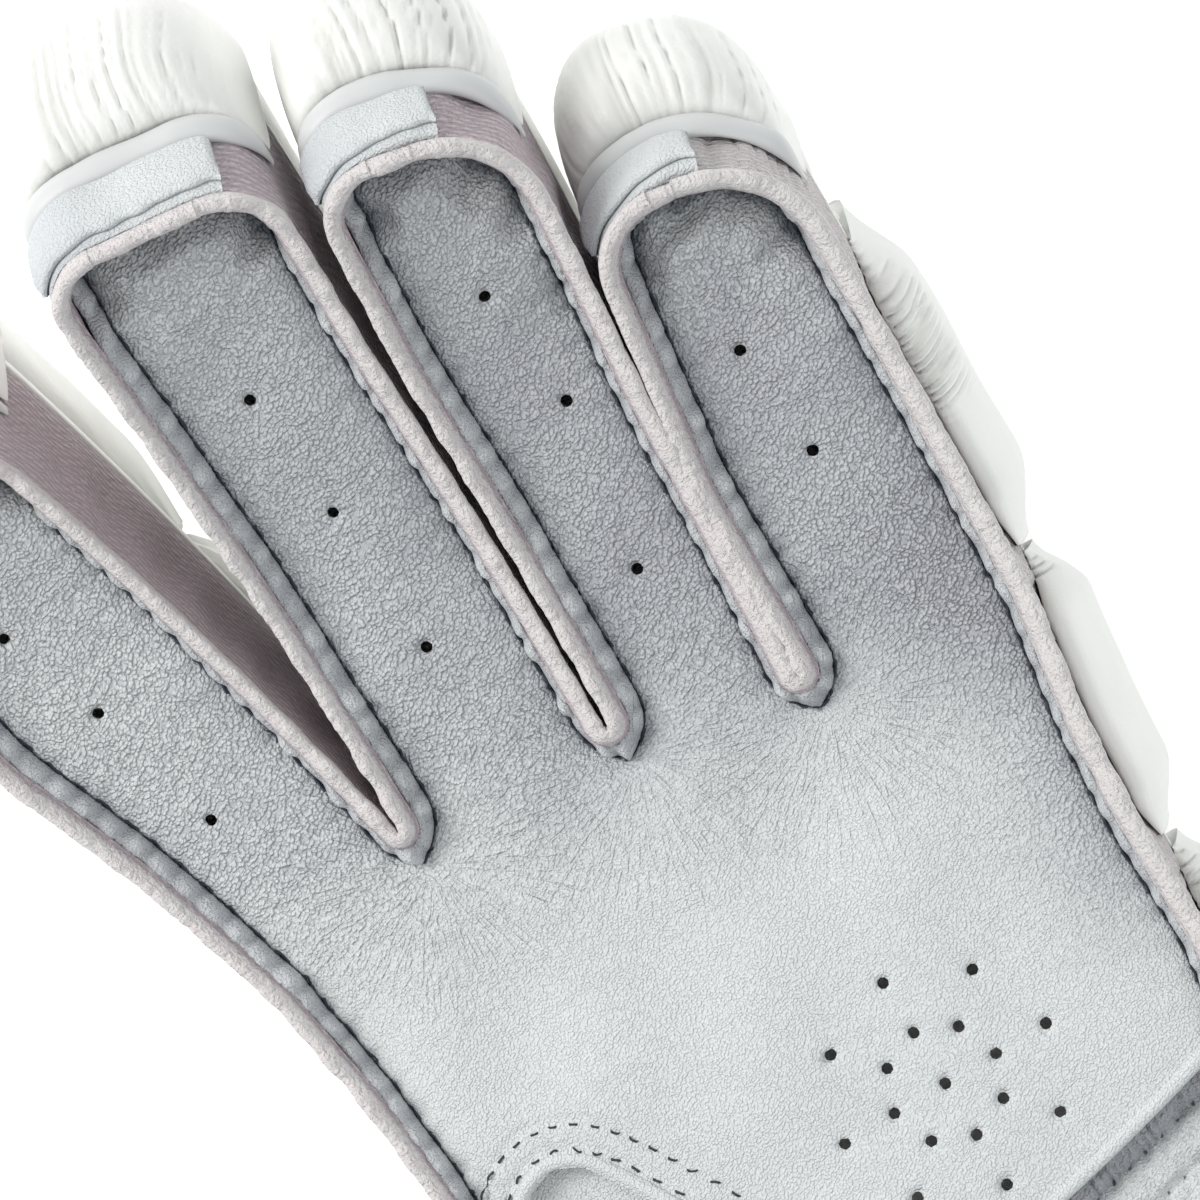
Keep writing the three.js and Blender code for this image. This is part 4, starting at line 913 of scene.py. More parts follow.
# Arch over the thumb's mound. The palm leather's lower edge is turned under to a smooth rounded
# lip, and two rows of stitches follow it, drawn as dark thread: painted shade of the small holes
# their light thread sits in.
ARCH_PITCH = 2.75
ARCH_END_S = -72
LIP_SHIFT = 1.2
LIP_ROUND = 14


def tube_points(line, heights, widths, rounds):
    """Rings of an oval cord along a line: widths are its half width and half height."""
    turn = np.linspace(0, 2 * math.pi, rounds, endpoint=False)[None]
    x, s = beside(line, left_normals(line), widths[0][:, None] * np.cos(turn))
    h = heights[:, None] + widths[1][:, None] * np.sin(turn)
    return x, s, h, tube_faces(np.arange(x.size).reshape(x.shape))


hem_curve = evenly(smooth(evenly(PALM_HEM, 0.6), 2.5), 0.5)[1:-1]
hem_side = left_normals(hem_curve)
hem_curve = hem_curve + LIP_SHIFT * hem_side * rise(-lengths_along(hem_curve), -95, -60)[:, None]
hem_level = PALM_TOP + smooth(leather_relief(
    *hem_curve.T, np.full(len(hem_curve), 9.0), np.full(len(hem_curve), 9.0))[:, None], 6)[:, 0]
hem_place = lengths_along(hem_curve)
full = np.minimum(rise(hem_place, 0, 3), rise(hem_place[-1] - hem_place, 0, 3))
x, s, h, faces = tube_points(hem_curve, hem_level - 0.30,
                             (0.85 * full + 0.1, 0.72 * full + 0.1), LIP_ROUND)
flat = np.ones(x.size)
lip = make_piece("palm_hem_lip", bend(x, s, h).reshape(-1, 3), faces, palm_finish,
                 values={"light_and_shade": flat, "worn": 0.15 * flat, "seam": 9 * flat})
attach(lip, "root")


arch = hem_curve[hem_curve[:, 0].argmin():]
arch = arch[: int(np.argmax(arch[:, 1] < ARCH_END_S))]
rows = []
for number, offset in enumerate(ARCH_ROWS):
    row = evenly(smooth(arch + left_normals(arch) * (offset - LIP_SHIFT), 3), 0.2)
    far = np.full(len(row), 9.0)
    level = PALM_TOP + leather_relief(*row.T, far, far) - 0.1
    places = stitch_places(lengths_along(row)[-1] * STITCH_PITCH / ARCH_PITCH, 97 + number)
    rows.append(thread_points(row, level, places * ARCH_PITCH / STITCH_PITCH, 98 + number,
                              0.17, 0.35, 0.42))
offsets = np.cumsum([0, *(len(p) for p, _ in rows)])
arch_stitching = make_piece("arch_stitching", np.vstack([p for p, _ in rows]),
                            np.vstack([f + o for (_, f), o in zip(rows, offsets)]),
                            thread_shade_finish)
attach(arch_stitching, "root")


# Cloth side walls. Strips of mauve-grey woven cloth run round every finger and the
# thumb, between the back and the palm leather. Their raw upper edge stands proud of the
# leather's turned-up edge as a thick, soft, fuzzy rim.
CLOTH_RIM = (0.80, 0.765, 0.755)
# Painted light and shade of the weave: the body colours on the raised threads, the shaded copies in
# the hollows between them.
CLOTH_BODY, CLOTH_SHADE = (0.72, 0.63, 0.655), (0.46, 0.375, 0.41)
KNIT_BODY, KNIT_SHADE = (0.84, 0.80, 0.79), (0.62, 0.56, 0.57)
CLOTH_STEP = 0.45
RIM_DEPTH = 3.6
RIM_SPREAD = 1.25


def cloth_finish(name, rim, body, shade):
    """Plain weave in rows along the seam, with painted shade in its hollows, and a brushed light
    rim at the raw edge, painted darker on its inner slope as shade. The cloth map holds the length
    along the seam and the height, in millimetres."""
    finish = Finish(name, Roughness=0.95, Specular_IOR_Level=0.1, Sheen_Weight=0.25)
    length, up, _ = finish.parts(finish.node("ShaderNodeUVMap", {"uv_map": "cloth"}))
    wobble = finish.noise(finish.place(), 400, 2)
    row = ((up + wobble * 0.8) * (2 * math.pi / 1.35)).maths("SINE")
    dash = ((length + up * 0.8 + wobble * 1.4) * (2 * math.pi / 1.9)).maths("SINE")
    weave = row * 0.5 + dash * row.step(-0.6, 0.6) * 0.6
    fuzz = finish.noise(finish.place(), 2300, 3)
    broad = finish.noise(finish.place(), 420, 3)
    high = finish.attribute("rim")
    finish.bump(weave * 0.5 * (1 - high) + fuzz * 1.1 + broad * 1.3 * high, 0.0006, 1.0)
    # Painted shade: the weave's hollows take the shaded colour, its raised threads the body colour.
    woven = finish.mix((weave + fuzz).step(-0.3, 1.1), shade, body)
    soft = finish.mix((fuzz * 0.6 + broad * 0.4).step(0.24, 0.52), body, rim)
    # The rim's light fleece colour, painted darker on its inner slope as shade.
    finish.colour(finish.mix((high + fuzz * 0.3 - 0.15).step(0.3, 0.7), woven, soft))
    return finish.material


cloth_side_finish = cloth_finish("gusset_cloth", CLOTH_RIM, CLOTH_BODY, CLOTH_SHADE)
knit_finish = cloth_finish("side_knit", (0.80, 0.77, 0.755), KNIT_BODY, KNIT_SHADE)


def sweep(first, last, step, profile, name, finish, values=None, gap=GAP):
    """Solid strip along the seam between two running lengths. The profile function gives
    rings of (outward, height) pairs from the running lengths."""
    place = np.linspace(first + gap / 2, last - gap / 2, int((last - first) / step) + 2)
    line, out = seam_at(place)
    rings = profile(place)
    x, s = beside(line, out, rings[..., 0])
    h = rings[..., 1]
    faces = tube_faces(np.arange(x.size).reshape(x.shape))
    uv = np.stack([np.broadcast_to(place[:, None], h.shape), h], -1).reshape(-1, 2)
    values = {key: np.ravel(value(rings)) for key, value in (values or {}).items()}
    return make_piece(name, bend(x, s, h).reshape(-1, 3), faces, finish, values=values, uv=uv)


def cloth_profile(spread, gather):
    """Rings of a cloth wall: two faces from the back to the rim, gently waved, which
    widen near the top into a soft rim that wanders in height and thickness. spread is the
    rim's outer half width, gather the depth of the folds across the wall."""
    def profile(place):
        level = np.array([0, 0.12, 0.26, 0.42, 0.58, 0.72, 0.82, 0.875, 0.92, 0.955, 0.98, 1.0])
        rim_wave = 0.5 * ripples(place, 0 * place, 31, 7, 0, 0.3) + 0.16 * ripples(
            place, 0 * place, 32, 1.7, 0, 0.3)
        top = RIDGE_TOP - 0.85 + 0.25 * rim_wave[:, None]
        h = BACK_TOP + GAP + (top - BACK_TOP - GAP) * level[None]
        wide = rise(h, RIDGE_TOP - RIM_DEPTH, RIDGE_TOP - 1.3)
        wave = 0.25 * ripples(place[:, None], h, 33, 9, 0.3, 0.5) * np.sin(np.pi * level)[None]
        folds = gather * valleys(ripples(place[:, None], h * 0.25, 34, 4.6, 0.1, 0.12), 0.5)
        wave = wave - folds * np.sin(np.pi * level)[None] ** 0.5
        inner = -WALL_HALF + wave - (RIM_INNER - WALL_HALF) * wide
        low = h - 1.0 * rise(level, 0.9, 1.0)[None]
        outer = WALL_HALF + wave + (spread - WALL_HALF + 0.10 * rim_wave[:, None]) * wide
        crown = np.linspace(0, math.pi, 10)[None, 1:-1]
        middle = (inner[:, -1:] + outer[:, -1:]) / 2
        half = (outer[:, -1:] - inner[:, -1:]) / 2
        crown_out = middle - np.cos(crown) * half
        pits = 0.10 * ripples(place[:, None], crown_out * 1.2, 35, 1.6)
        slope = rise(crown, 0, 1.9) ** 0.8
        crown_up = top - 1.0 * (1 - slope) + (0.80 + pits) * np.sin(crown) ** 0.6 * slope
        return np.concatenate([np.stack([inner, low], -1), np.stack([crown_out, crown_up], -1),
                               np.stack([outer, h], -1)[:, ::-1]], 1)
    return profile


def rim_and_slope_shade(rings):
    """Share of the rim's light fleece colour: 1 on the crest of the cloth's raw upper edge, less on
    its inner slope as painted shade, and 0 from a few millimetres below it."""
    crest = np.ones(rings.shape[1])
    crest[:12] = 0.1
    crest[12:16] = 0.25, 0.45, 0.7, 0.9
    return rise(rings[..., 1], RIDGE_TOP - 3.0, RIDGE_TOP - 1.6) * crest


def add_cloth(name, first, last, node, spread=RIM_SPREAD, gather=0.0, finish=None):
    """One side wall between two marks of the seam."""
    wall = sweep(seam_marks[first], seam_marks[last], CLOTH_STEP, cloth_profile(spread, gather),
                 name, finish or cloth_side_finish, {"rim": rim_and_slope_shade}, 0)
    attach(wall, "root")
    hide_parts(node)


add_cloth("thumb_gusset_cloth", "start", "index_side", "thumb_gusset")
add_cloth("index_side_cloth", "index_side", "index_left_corner", "index_side_gusset")
for f, finger in enumerate(FINGERS):
    name = finger["name"]
    add_cloth(name + "_tip_cloth", name + "_left_corner", name + "_right_corner",
              name + "_tip_wall")
    if f < 3:
        other = FINGERS[f + 1]["name"]
        add_cloth(f"{name}_{other}_cloth", name + "_right_corner", other + "_left_corner",
                  f"{name}_{other}_fourchette", (1.2, 1.35, 1.5)[f])
add_cloth("little_side_cloth", "little_right_corner", "end", "little_side_gusset",
          1.7, 0.35, knit_finish)


# Fingertip bands and straps. A smooth white band holds the gathered end of each roll,
# and a strip of palm leather, folded double, is sewn over it across the fingertip. The
# strip's upper edge shows its two layers, and its right end is cut square.
BAND_LOW = 33 + 0.4 + GAP
BAND_HIGH = BAND_LOW + 4.6
STRAP_LOW = BAND_HIGH + GAP
STRAP_HIGH = STRAP_LOW + 11
STRIP_BASE = WALL_HALF + GAP
STRIP_STEP = 0.45
STRAP_BACK_ROWS = 14


def band_profile(place):
    """Rings of the smooth band: a flat back against the cloth and a softly rounded face
    that tucks under the gathered leather below it."""
    up = np.linspace(0, 1, 12)
    ends = np.minimum(rise(place - place[0], -1, 6), rise(place[-1] - place, -1, 6))[:, None]
    face = 0.15 + (0.4 + 1.35 * np.sin(math.pi * up[None]) ** 0.55) * ends
    wave = 0.10 * ripples(place[:, None], 4 * up[None], 41, 9, 0.2, 0.4) * ends
    h = BAND_LOW + (BAND_HIGH - BAND_LOW) * (0.5 + (up[None] - 0.5) * (0.35 + 0.65 * ends))
    front = np.stack([STRIP_BASE + face + wave, h], -1)
    back = np.stack([np.full_like(wave, STRIP_BASE), h], -1)[:, ::-1]
    return np.concatenate([front, back], 1)


def strap_profile(tilt, seed):
    """Rings of a doubled strip: the front layer ends lower than the back one, with a
    slot between them, and its upper edge leans out by the tilt at the strip's end."""
    def profile(place):
        share = (place - place[0]) / (place[-1] - place[0])
        up = np.array([0, 0.03, 0.10, 0.22, 0.38, 0.55, 0.70, 0.83, 0.93, 0.98, 1.0])
        wave = 0.22 * ripples(place[:, None], 11 * up[None], seed, 11, 0.2, 0.6)
        lift = (tilt * rise(share, 0.2, 1.0))[:, None]
        step = (1.0 + 0.5 * share + 0.12 * ripples(place, 0 * place, seed + 1, 4, 0, 0.3))[:, None]
        ends = np.minimum(rise(share, 0, 0.02), rise(1 - share, 0, 0.012))[:, None]
        face = 1.0 + 0.75 * (1 - np.abs(2 * up - 1) ** 6)[None] * ends + wave * 0.6
        face = face + lift * up[None] ** 2
        h = STRAP_LOW + (STRAP_HIGH - step - STRAP_LOW) * up[None]
        front = np.stack([STRIP_BASE + face, h], -1)
        edge = STRIP_BASE + face[:, -1:]
        high = STRAP_HIGH - step
        lip = [(edge - 0.55, high), (edge - 0.70, high - 1.4), (edge - 0.80, high - 1.4),
               (edge - 0.82, high + 0.75 * step)]
        lip = np.stack([np.concatenate(pair, 1) for pair in lip], 1)
        back_out = np.full((len(place), STRAP_BACK_ROWS), STRIP_BASE)
        back_out = np.concatenate([edge - 0.95 + 0 * step, back_out], 1)
        down = np.linspace(0, 1, STRAP_BACK_ROWS)[None]
        levels = STRAP_HIGH - (STRAP_HIGH - STRAP_LOW) * down + 0 * step
        back_h = np.concatenate([high + 0.8 * step, levels], 1)
        back = np.stack([np.maximum(back_out, STRIP_BASE), back_h], -1)
        return np.concatenate([front, lip, back], 1)
    return profile


def strap_slot_shade(rings):
    """Crease value of the strip: painted shade in the slot between its layers."""
    value = np.full(rings.shape[:2], 4.0)
    value[:, 12:14] = 0.0
    value[:, 14] = 0.9
    return value


def strap_light_and_shade(rings):
    """Painted light and shade of the strip: shaded at its first end, lit from its middle on."""
    share = np.arange(len(rings))[:, None] / len(rings) + 0 * rings[..., 0]
    return 0.3 + 0.7 * rise(share, 0.1, 0.7)


def strap_worn(rings):
    """The strip's leather is hardly worn."""
    return np.full(rings.shape[:2], 0.12)


band_finish = Finish("tip_band_leather", Roughness=0.42, Specular_IOR_Level=0.4,
                     Base_Color=(0.67, 0.685, 0.68, 1)).material
# Painted light and shade: a lit and a shaded copy of the strip's leather, a darker colour for its
# grain's valleys and a darkest one for its slot.
strap_finish = palm_leather_finish("strap_leather", (0.72, 0.75, 0.755), (0.60, 0.63, 0.65),
                                   (0.42, 0.44, 0.47), (0.26, 0.27, 0.29))
for f, finger in enumerate(FINGERS):
    name = finger["name"]
    first, last = seam_marks[name + "_left_start"], seam_marks[name + "_right_end"]
    band = sweep(first, last, STRIP_STEP, band_profile, name + "_tip_band_strip", band_finish)
    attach(band, "root")
    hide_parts(name + "_tip_band")
    strap = sweep(first + 3, seam_marks[name + "_right_corner"] + 3.5, STRIP_STEP,
                  strap_profile((0.4, 0.3, 1.0, 1.2)[f], 43 + 2 * f), name + "_tip_strap_strip",
                  strap_finish, {"seam": strap_slot_shade, "light_and_shade": strap_light_and_shade, "worn": strap_worn})
    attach(strap, "root")
    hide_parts(name + "_tip_strap")


# Padded rolls. Sausages of soft white leather, stuffed with foam, are sewn side by side
# over the backs of the fingers, the hand and the thumb. The leather is gathered into
# their end seams and puckered along the outer side of the hand, and the last roll of
# each finger is wrapped up round the fingertip in pleats.
ROLL_STEPS, ROLL_ROUND = 84, 64
ULNAR_OVERHANG = 1.2
SIDE_ROWS_ROUND = 28
FINGER_ROLL_START = (0.35, 0.12, 0.15, 0.72)
FINGER_JOINT, JOINT_GAP = (3.9, 3.9, 3.9, 5.8), 0.12
ROWS = 10
KNUCKLES = (-9, 2.2, 1.2, -5, -4.2)
HAND_ROLL_LINES = (-42, WRIST_S + 2)
ROLL_JOINT = 1.4
PLEAT_STEP = 0.30
SIDE_BULGES = [(34.2, -2.6, 21), (-3.4, -41.2, 4), (-43.4, -94.5, 9)]
PLEAT_ROWS = 26
SIDE_FOOT, SIDE_SEAM = 0.75, 20.5


def roll_finish(name):
    """Smooth ivory leather with a faint grain and a soft shine, painted darker in its folds,
    gathers and pleats as shade.
    """
    finish = Finish(name, Specular_IOR_Level=0.45, Coat_Weight=0.08)
    pores = finish.cells(finish.place(), 1500)
    broad = finish.noise(finish.place(), 60, 2)
    finish.bump((1 - pores) * 0.3 + broad * 0.8, 0.0003, 0.4)
    body = finish.mix(broad.step(0.3, 0.7), (0.85, 0.86, 0.825), (0.90, 0.90, 0.865))
    fold_shade = finish.attribute("fold_shade")
    finish.colour(finish.mix(fold_shade.step(0, 2.0), body, (0.46, 0.45, 0.39)))
    finish.roughness(0.36 + pores * 0.16)
    return finish.material


roll_leather = roll_finish("roll_leather")


def roll_points(left, right, seed, overhang=0.0):
    """Points of a padded roll between two side lines given from end to end, and their
    fold values. The section is flat on top and a squarish half round below. Width and
    depth shrink in the last tenth at each end, where ripples along the roll gather the
    leather. An overhanging side is moved out past the right line."""
    t = np.linspace(0, 1, ROLL_STEPS)[:, None]
    t = 0.75 * t + 0.25 * (0.5 - 0.5 * np.cos(math.pi * t))
    turn = np.linspace(0, 2 * np.pi, ROLL_ROUND, endpoint=False)[None]
    end = np.minimum(t, 1 - t)
    plump = rise(end, -0.10, 0.14)
    left, right = along_index(left, ROLL_STEPS), along_index(right, ROLL_STEPS)
    across = right - left
    reach = np.hypot(*across.T)[:, None]
    across /= reach
    centre = (left + right) / 2
    length = lengths_along(centre)[-1]
    side = np.sign(np.cos(turn)) * np.abs(np.cos(turn)) ** 0.55
    down = np.sign(np.sin(turn)) * np.abs(np.sin(turn)) ** 0.62
    around = turn * reach.mean() / 3
    gather = valleys(ripples(around, t * length * 0.12, seed, 3.4, 0, 0.12), 0.55)
    gather = gather * np.exp(-end * length / 3.4)
    crease = valleys(ripples(t * length, around, seed + 1, 9, 1.4, 0.5), 0.22)
    crease = crease * (0.25 + 0.75 * np.exp(-end * length / 9))
    swell = 1 - 0.075 * gather - 0.018 * crease + 0.016 * ripples(t * length, around, seed + 2, 22)
    width = reach / 2 * (0.85 + 0.13 * plump) * np.minimum(swell, 1.02)
    depth = ROLL_DEPTH * (0.55 + 0.45 * plump)
    past = np.where(side > 0, side * overhang, 0)
    out = side * width + past
    under = ROLL_DEPTH / 2 - (down * depth / 2) * swell + (ROLL_DEPTH - depth) / 2
    h = np.clip(under, 0.0, ROLL_DEPTH - 0.02)
    # Painted shade in the gathers and creases of the roll.
    fold_shade = gather + 0.4 * crease
    x = centre[:, :1] + across[:, :1] * out
    s = centre[:, 1:] + across[:, 1:] * out
    return x, s, h, fold_shade


def roll_mesh(x, s, h, fold_shade):
    """Points, quads and fold values of a roll, whose ends are drawn in to a seam."""
    index = np.arange(x.size).reshape(x.shape)
    order = np.roll(index, -(ROLL_ROUND // 4), axis=1)
    faces = np.vstack([grid_faces(index, close_columns=True), cap_faces(order[0])[:, ::-1],
                       cap_faces(order[-1])])
    return bend(x, s, h).reshape(-1, 3), faces, fold_shade.ravel()


def swept_leather(rings, fold_shade, place, base):
    """Closed leather from rings of (outward, height) pairs along the seam, with its quads
    numbered from base. Returns points, quads and fold values."""
    x, s = beside(*seam_at(place), rings[..., 0])
    faces = tube_faces(base + np.arange(x.size).reshape(x.shape))
    return bend(x, s, rings[..., 1]).reshape(-1, 3), faces, fold_shade.ravel()


ulnar_first = int(np.searchsorted(seam_length, seam_marks["little_right_end"]))


def side_bulge(high, low, seed, gathers):
    """Rings of the leather that swells out beside the little finger's seam, between two places
    along the hand, and their fold values, which paint shade into the puckers. It climbs the side
    wall, rounds over and tucks in below. Short puckers cross its upper edge over the gathered
    length."""
    place = np.interp([-high, -low], -seam[ulnar_first:, 1], seam_length[ulnar_first:])
    place = np.arange(place[0], place[1], PLEAT_STEP)
    start, stop = (place - place[0])[:, None], (place[-1] - place)[:, None]
    full = rise(start, -1.5, 7) * rise(stop, -3, 9)
    climb = rise(start, -3, 9) * rise(stop, -5, 7)
    turn = np.linspace(0, 1, SIDE_ROWS_ROUND)[None]
    table = np.array([(SIDE_FOOT, SIDE_SEAM), (0.80, 41), (1.5, 45.2), (3.0, 44.4), (4.9, 38.0),
                      (6.1, 28), (6.2, 18), (5.2, 8), (3.0, 2.2), (0.2, 1.2)])
    curve = smooth(along(table, turn[0]), 0.8)
    around = turn * 40
    pucker = valleys(ripples(place[:, None], around * 0.25, seed, 2.0, 0, 0.14), 0.6)
    edge = rise(around, 9, 14) * (1 - rise(around, 19, 27))
    pucker = pucker * edge * (1 - rise(start, gathers * 0.7, gathers))
    swell = ripples(place[:, None], around, seed + 1, 17, 0, 0.8) * 0.07 * rise(around, 15, 22)
    out = curve[None, :, 0]
    out = SIDE_FOOT + (out - SIDE_FOOT) * np.where(out > SIDE_FOOT, full, 1)
    out = out + swell * full - 0.6 * pucker
    up = curve[None, :, 1]
    up = np.where(up > SIDE_SEAM, SIDE_SEAM + (up - SIDE_SEAM) * climb, up) - 2.0 * pucker
    front = np.stack(np.broadcast_arrays(out, up), -1)
    back_out = np.r_[np.full(SIDE_ROWS_ROUND - 1, -2.0), 0.6] + 0 * out
    back_up = np.r_[np.linspace(1.5, 19, SIDE_ROWS_ROUND - 1), 19.6] + 0 * out
    rings = np.concatenate([front, np.stack([back_out, back_up], -1)], 1)
    return rings, np.hstack([0.9 * pucker, 0 * out]), place


def add_roll(name, left, right, seed, node, bulge=None):
    """A padded roll, with the swelling leather beside the hand where bulge gives its
    higher and lower end and its gathered length."""
    points, faces, fold_shade = roll_mesh(*roll_points(left, right, seed,
                                                 ULNAR_OVERHANG if bulge else 0.0))
    if bulge:
        high, low, gathers = bulge
        side = swept_leather(*side_bulge(high, low, seed + 2, gathers), len(points))
        points, faces = np.vstack([points, side[0]]), np.vstack([faces, side[1]])
        fold_shade = np.concatenate([fold_shade, side[2]])
    piece = make_piece(name, points, faces, roll_leather, values={"fold_shade": fold_shade})
    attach(piece, "root")
    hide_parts(node)


def side_part(curve, first, last):
    """Part of a side curve between two of the ten rows that it is counted in."""
    length = lengths_along(curve)
    corner = length[SIDE_ROWS] / length[-1]
    shares = np.interp(np.linspace(first, last, 60), [0, 7, ROWS], [0, corner, 1])
    return along(curve, shares)


def wrap_profile(place, seed):
    """Rings of the gathered leather round a fingertip and their fold values, which paint shade into
    the pleats. The leather leaves the band, swells out over the tip and tucks in below. Pleats of
    uneven depth start at the band and run out down the swell."""
    from_end = np.minimum(place - place[0], place[-1] - place)
    ends = rise(from_end, 0, 13)[:, None]
    turn = np.linspace(0, 1, PLEAT_ROWS)[None]
    table = np.array([(STRIP_BASE, 33.2), (STRIP_BASE + 2.6, 34.0), (STRIP_BASE + 5.2, 31.4),
                      (STRIP_BASE + 6.4, 25.5), (STRIP_BASE + 6.3, 17), (STRIP_BASE + 4.2, 9.5),
                      (STRIP_BASE + 1.4, 6.2), (-2.6, 5.6)])
    curve = smooth(along(table, turn[0]), 1.0)
    sway = 0.5 * ripples(turn * 3, place[:, None] * 0.05, seed + 2, 2.0)
    wide = valleys(ripples(place[:, None] + sway, turn * 1.2, seed, 4.6, 0, 0.05), 0.22)
    thin = valleys(ripples(place[:, None] + sway, turn * 1.6, seed + 1, 2.4, 0, 0.06), 0.24)
    pleats = (wide + 0.55 * thin) * (1 - 0.75 * turn) * rise(turn, -0.05, 0.12)
    swell = (0.10 + 0.90 * ends) * (1.04 - 0.09 * pleats)
    out = STRIP_BASE + (curve[None, :, 0] - STRIP_BASE) * np.where(
        curve[None, :, 0] > STRIP_BASE, swell, 1)
    face = np.stack([out, curve[None, :, 1] - 0.45 * pleats * ends], -1)
    half = PLEAT_ROWS // 2
    back_out = np.r_[np.full(half, -2.6), np.full(half, STRIP_BASE)]
    back_up = np.r_[np.linspace(5.7, 17, half), np.linspace(17.2, 32.8, half)]
    back = np.stack(np.broadcast_arrays(back_out[None] + 0 * out, back_up[None]), -1)
    return np.concatenate([face, back], 1), np.hstack([0.8 * pleats * ends, 0 * out])


for f, finger in enumerate(FINGERS):
    name = finger["name"]
    left, right = finger["left_seam"], finger["right_seam"]
    left_line, right_line = (inset_side(left, False, -0.4), inset_side(right, True, -0.4))
    start, stop = FINGER_ROLL_START[f], FINGER_JOINT[f] - JOINT_GAP / 2
    add_roll(name + "_proximal_pad", side_part(left_line, start, stop),
             side_part(right_line, start, stop), 60 + 5 * f, name + "_roll_proximal",
             SIDE_BULGES[0] if f == 3 else None)
    start = FINGER_JOINT[f] + JOINT_GAP / 2
    points, faces, fold_shade = roll_mesh(*roll_points(
        side_part(left_line, start, ROWS), side_part(right_line, start, ROWS), 80 + 5 * f))
    place = np.arange(seam_marks[name + "_left_start"], seam_marks[name + "_right_end"],
                      PLEAT_STEP)
    rings, wrap_fold = wrap_profile(place, 51 + 3 * f)
    wrap = swept_leather(rings, wrap_fold, place, len(points))
    tip = make_piece(name + "_gathered_tip", np.vstack([points, wrap[0]]),
                     np.vstack([faces, wrap[1]]), roll_leather,
                     values={"fold_shade": np.concatenate([fold_shade, wrap[2]])})
    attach(tip, "root")
    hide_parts(name + "_roll_distal")

radial_x = (RADIAL_SEAM[1][0], RADIAL_SEAM[-1][0], WRIST_RADIAL_X)
ulnar_x = (ULNAR_SEAM[0][0], ULNAR_SEAM[3][0], ULNAR_SEAM[6][0])
hand_lines = [[(radial_x[row] + (ulnar_x[row] - radial_x[row]) * c / 4,
                KNUCKLES[c] if row == 0 else HAND_ROLL_LINES[row - 1]) for c in range(5)]
              for row in range(3)]
for row, row_name in enumerate(("upper", "lower")):
    for c, finger in enumerate(FINGERS):
        corners = [np.array(hand_lines[row + k][c + side], float)
                   for k in (0, 1) for side in (0, 1)]
        if row:
            corners[0][1] -= ROLL_JOINT
            corners[1][1] -= ROLL_JOINT
        across = (corners[1] - corners[0]) / np.hypot(*(corners[1] - corners[0])) * 0.5
        add_roll(f"back_pad_{row_name}_{finger['name']}",
                 [corners[0] + across, corners[2] + across],
                 [corners[1] - across, corners[3] - across], 200 + 50 * row + 5 * c,
                 f"back_roll_{row_name}_{finger['name']}",
                 SIDE_BULGES[1 + row] if c == 3 else None)
thumb_left, thumb_right = inset_side(thumb_upper, False, 0.4), inset_side(thumb_lower, True, 0.4)
for number, (part, first, last) in enumerate((("proximal", 0.7, 4.4), ("distal", 4.55, 10))):
    add_roll(f"thumb_{part}_pad", side_part(thumb_left, first, last),
             side_part(thumb_right, first, last), 340 + 5 * number, f"thumb_roll_{part}")


# Back of the hand and of the thumb. Plain white leather sheets, backed with cloth, that
# the padded rolls are sewn to.
BACK_WALL, BACK_COLUMNS = 2, 12
back_finish = roll_finish("back_leather")
wrist_corners = [(WRIST_RADIAL_X + 0.5, WRIST_S), (ULNAR_SEAM[-1][0] + WALL_HALF, WRIST_S)]
back_hem = along_index(wrist_corners, 17)
back_radial = np.vstack([inset_side(radial_line[::-1], False, -WALL_HALF)[::-1], back_hem[0]])
back_ulnar = np.vstack([inset_side(np.array(ULNAR_SEAM[1:-1], float)[::-1], True,
                                   -WALL_HALF)[::-1], back_hem[-1]])
plan, faces, _ = hand_grid(-WALL_HALF, -WALL_HALF, -WALL_HALF, back_hem, back_radial,
                           back_ulnar, BACK_COLUMNS)
x, s = plan.T
back = make_piece("hand_back_sheet", bend(x, s, BACK_TOP + 0 * x), faces, back_finish,
                  closed=False)
thicken(back, BACK_WALL)
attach(back, "root")
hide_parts("hand_back")

back_upper = inset_side(thumb_upper, True, -WALL_HALF)
back_lower = inset_side(thumb_lower, False, -WALL_HALF)
radial_foot = np.array(RADIAL_SEAM[-1])
back_upper[0] = radial_foot - [WALL_HALF + 0.5, 0.5]
back_lower[0] = (WRIST_RADIAL_X - GAP, WRIST_S)
across = np.linspace(0, 1, THUMB_COLUMNS + 1)[None, :, None]
block = back_lower[:, None] + (back_upper - back_lower)[:, None] * across
index = np.arange(block.shape[0] * block.shape[1]).reshape(block.shape[:2])
x, s = block.reshape(-1, 2).T
thumb_back = make_piece("thumb_back_sheet", bend(x, s, BACK_TOP + 0 * x), grid_faces(index),
                        back_finish, closed=False)
thicken(thumb_back, BACK_WALL)
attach(thumb_back, "root")
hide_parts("thumb_back")


# Cuff, binding and wrist strap. A squarish tube of ribbed cotton towelling, bound with
# woven tape at its mouth and closed over the wrist with a padded strap.
CUFF_LENGTH, CUFF_WALL = 50, 3
CUFF_FRONT, CUFF_END = (84, 32), (90, 46)
CUFF_CENTRE_X, CUFF_CENTRE_H, CUFF_END_DROP = 4.5, 32, 4
CUFF_SQUARENESS = 0.62
BINDING_WIDTH, BINDING_STANDOFF = 6, 1.2
STRAP_SETBACK, STRAP_WIDTH, STRAP_WALL = 9, 28, 2
STRAP_TURN = (-0.3, 0.38)
CUFF_ROUND, CUFF_ROWS, BINDING_ROWS = 220, 26, 30
RIB_PITCH = 4.2


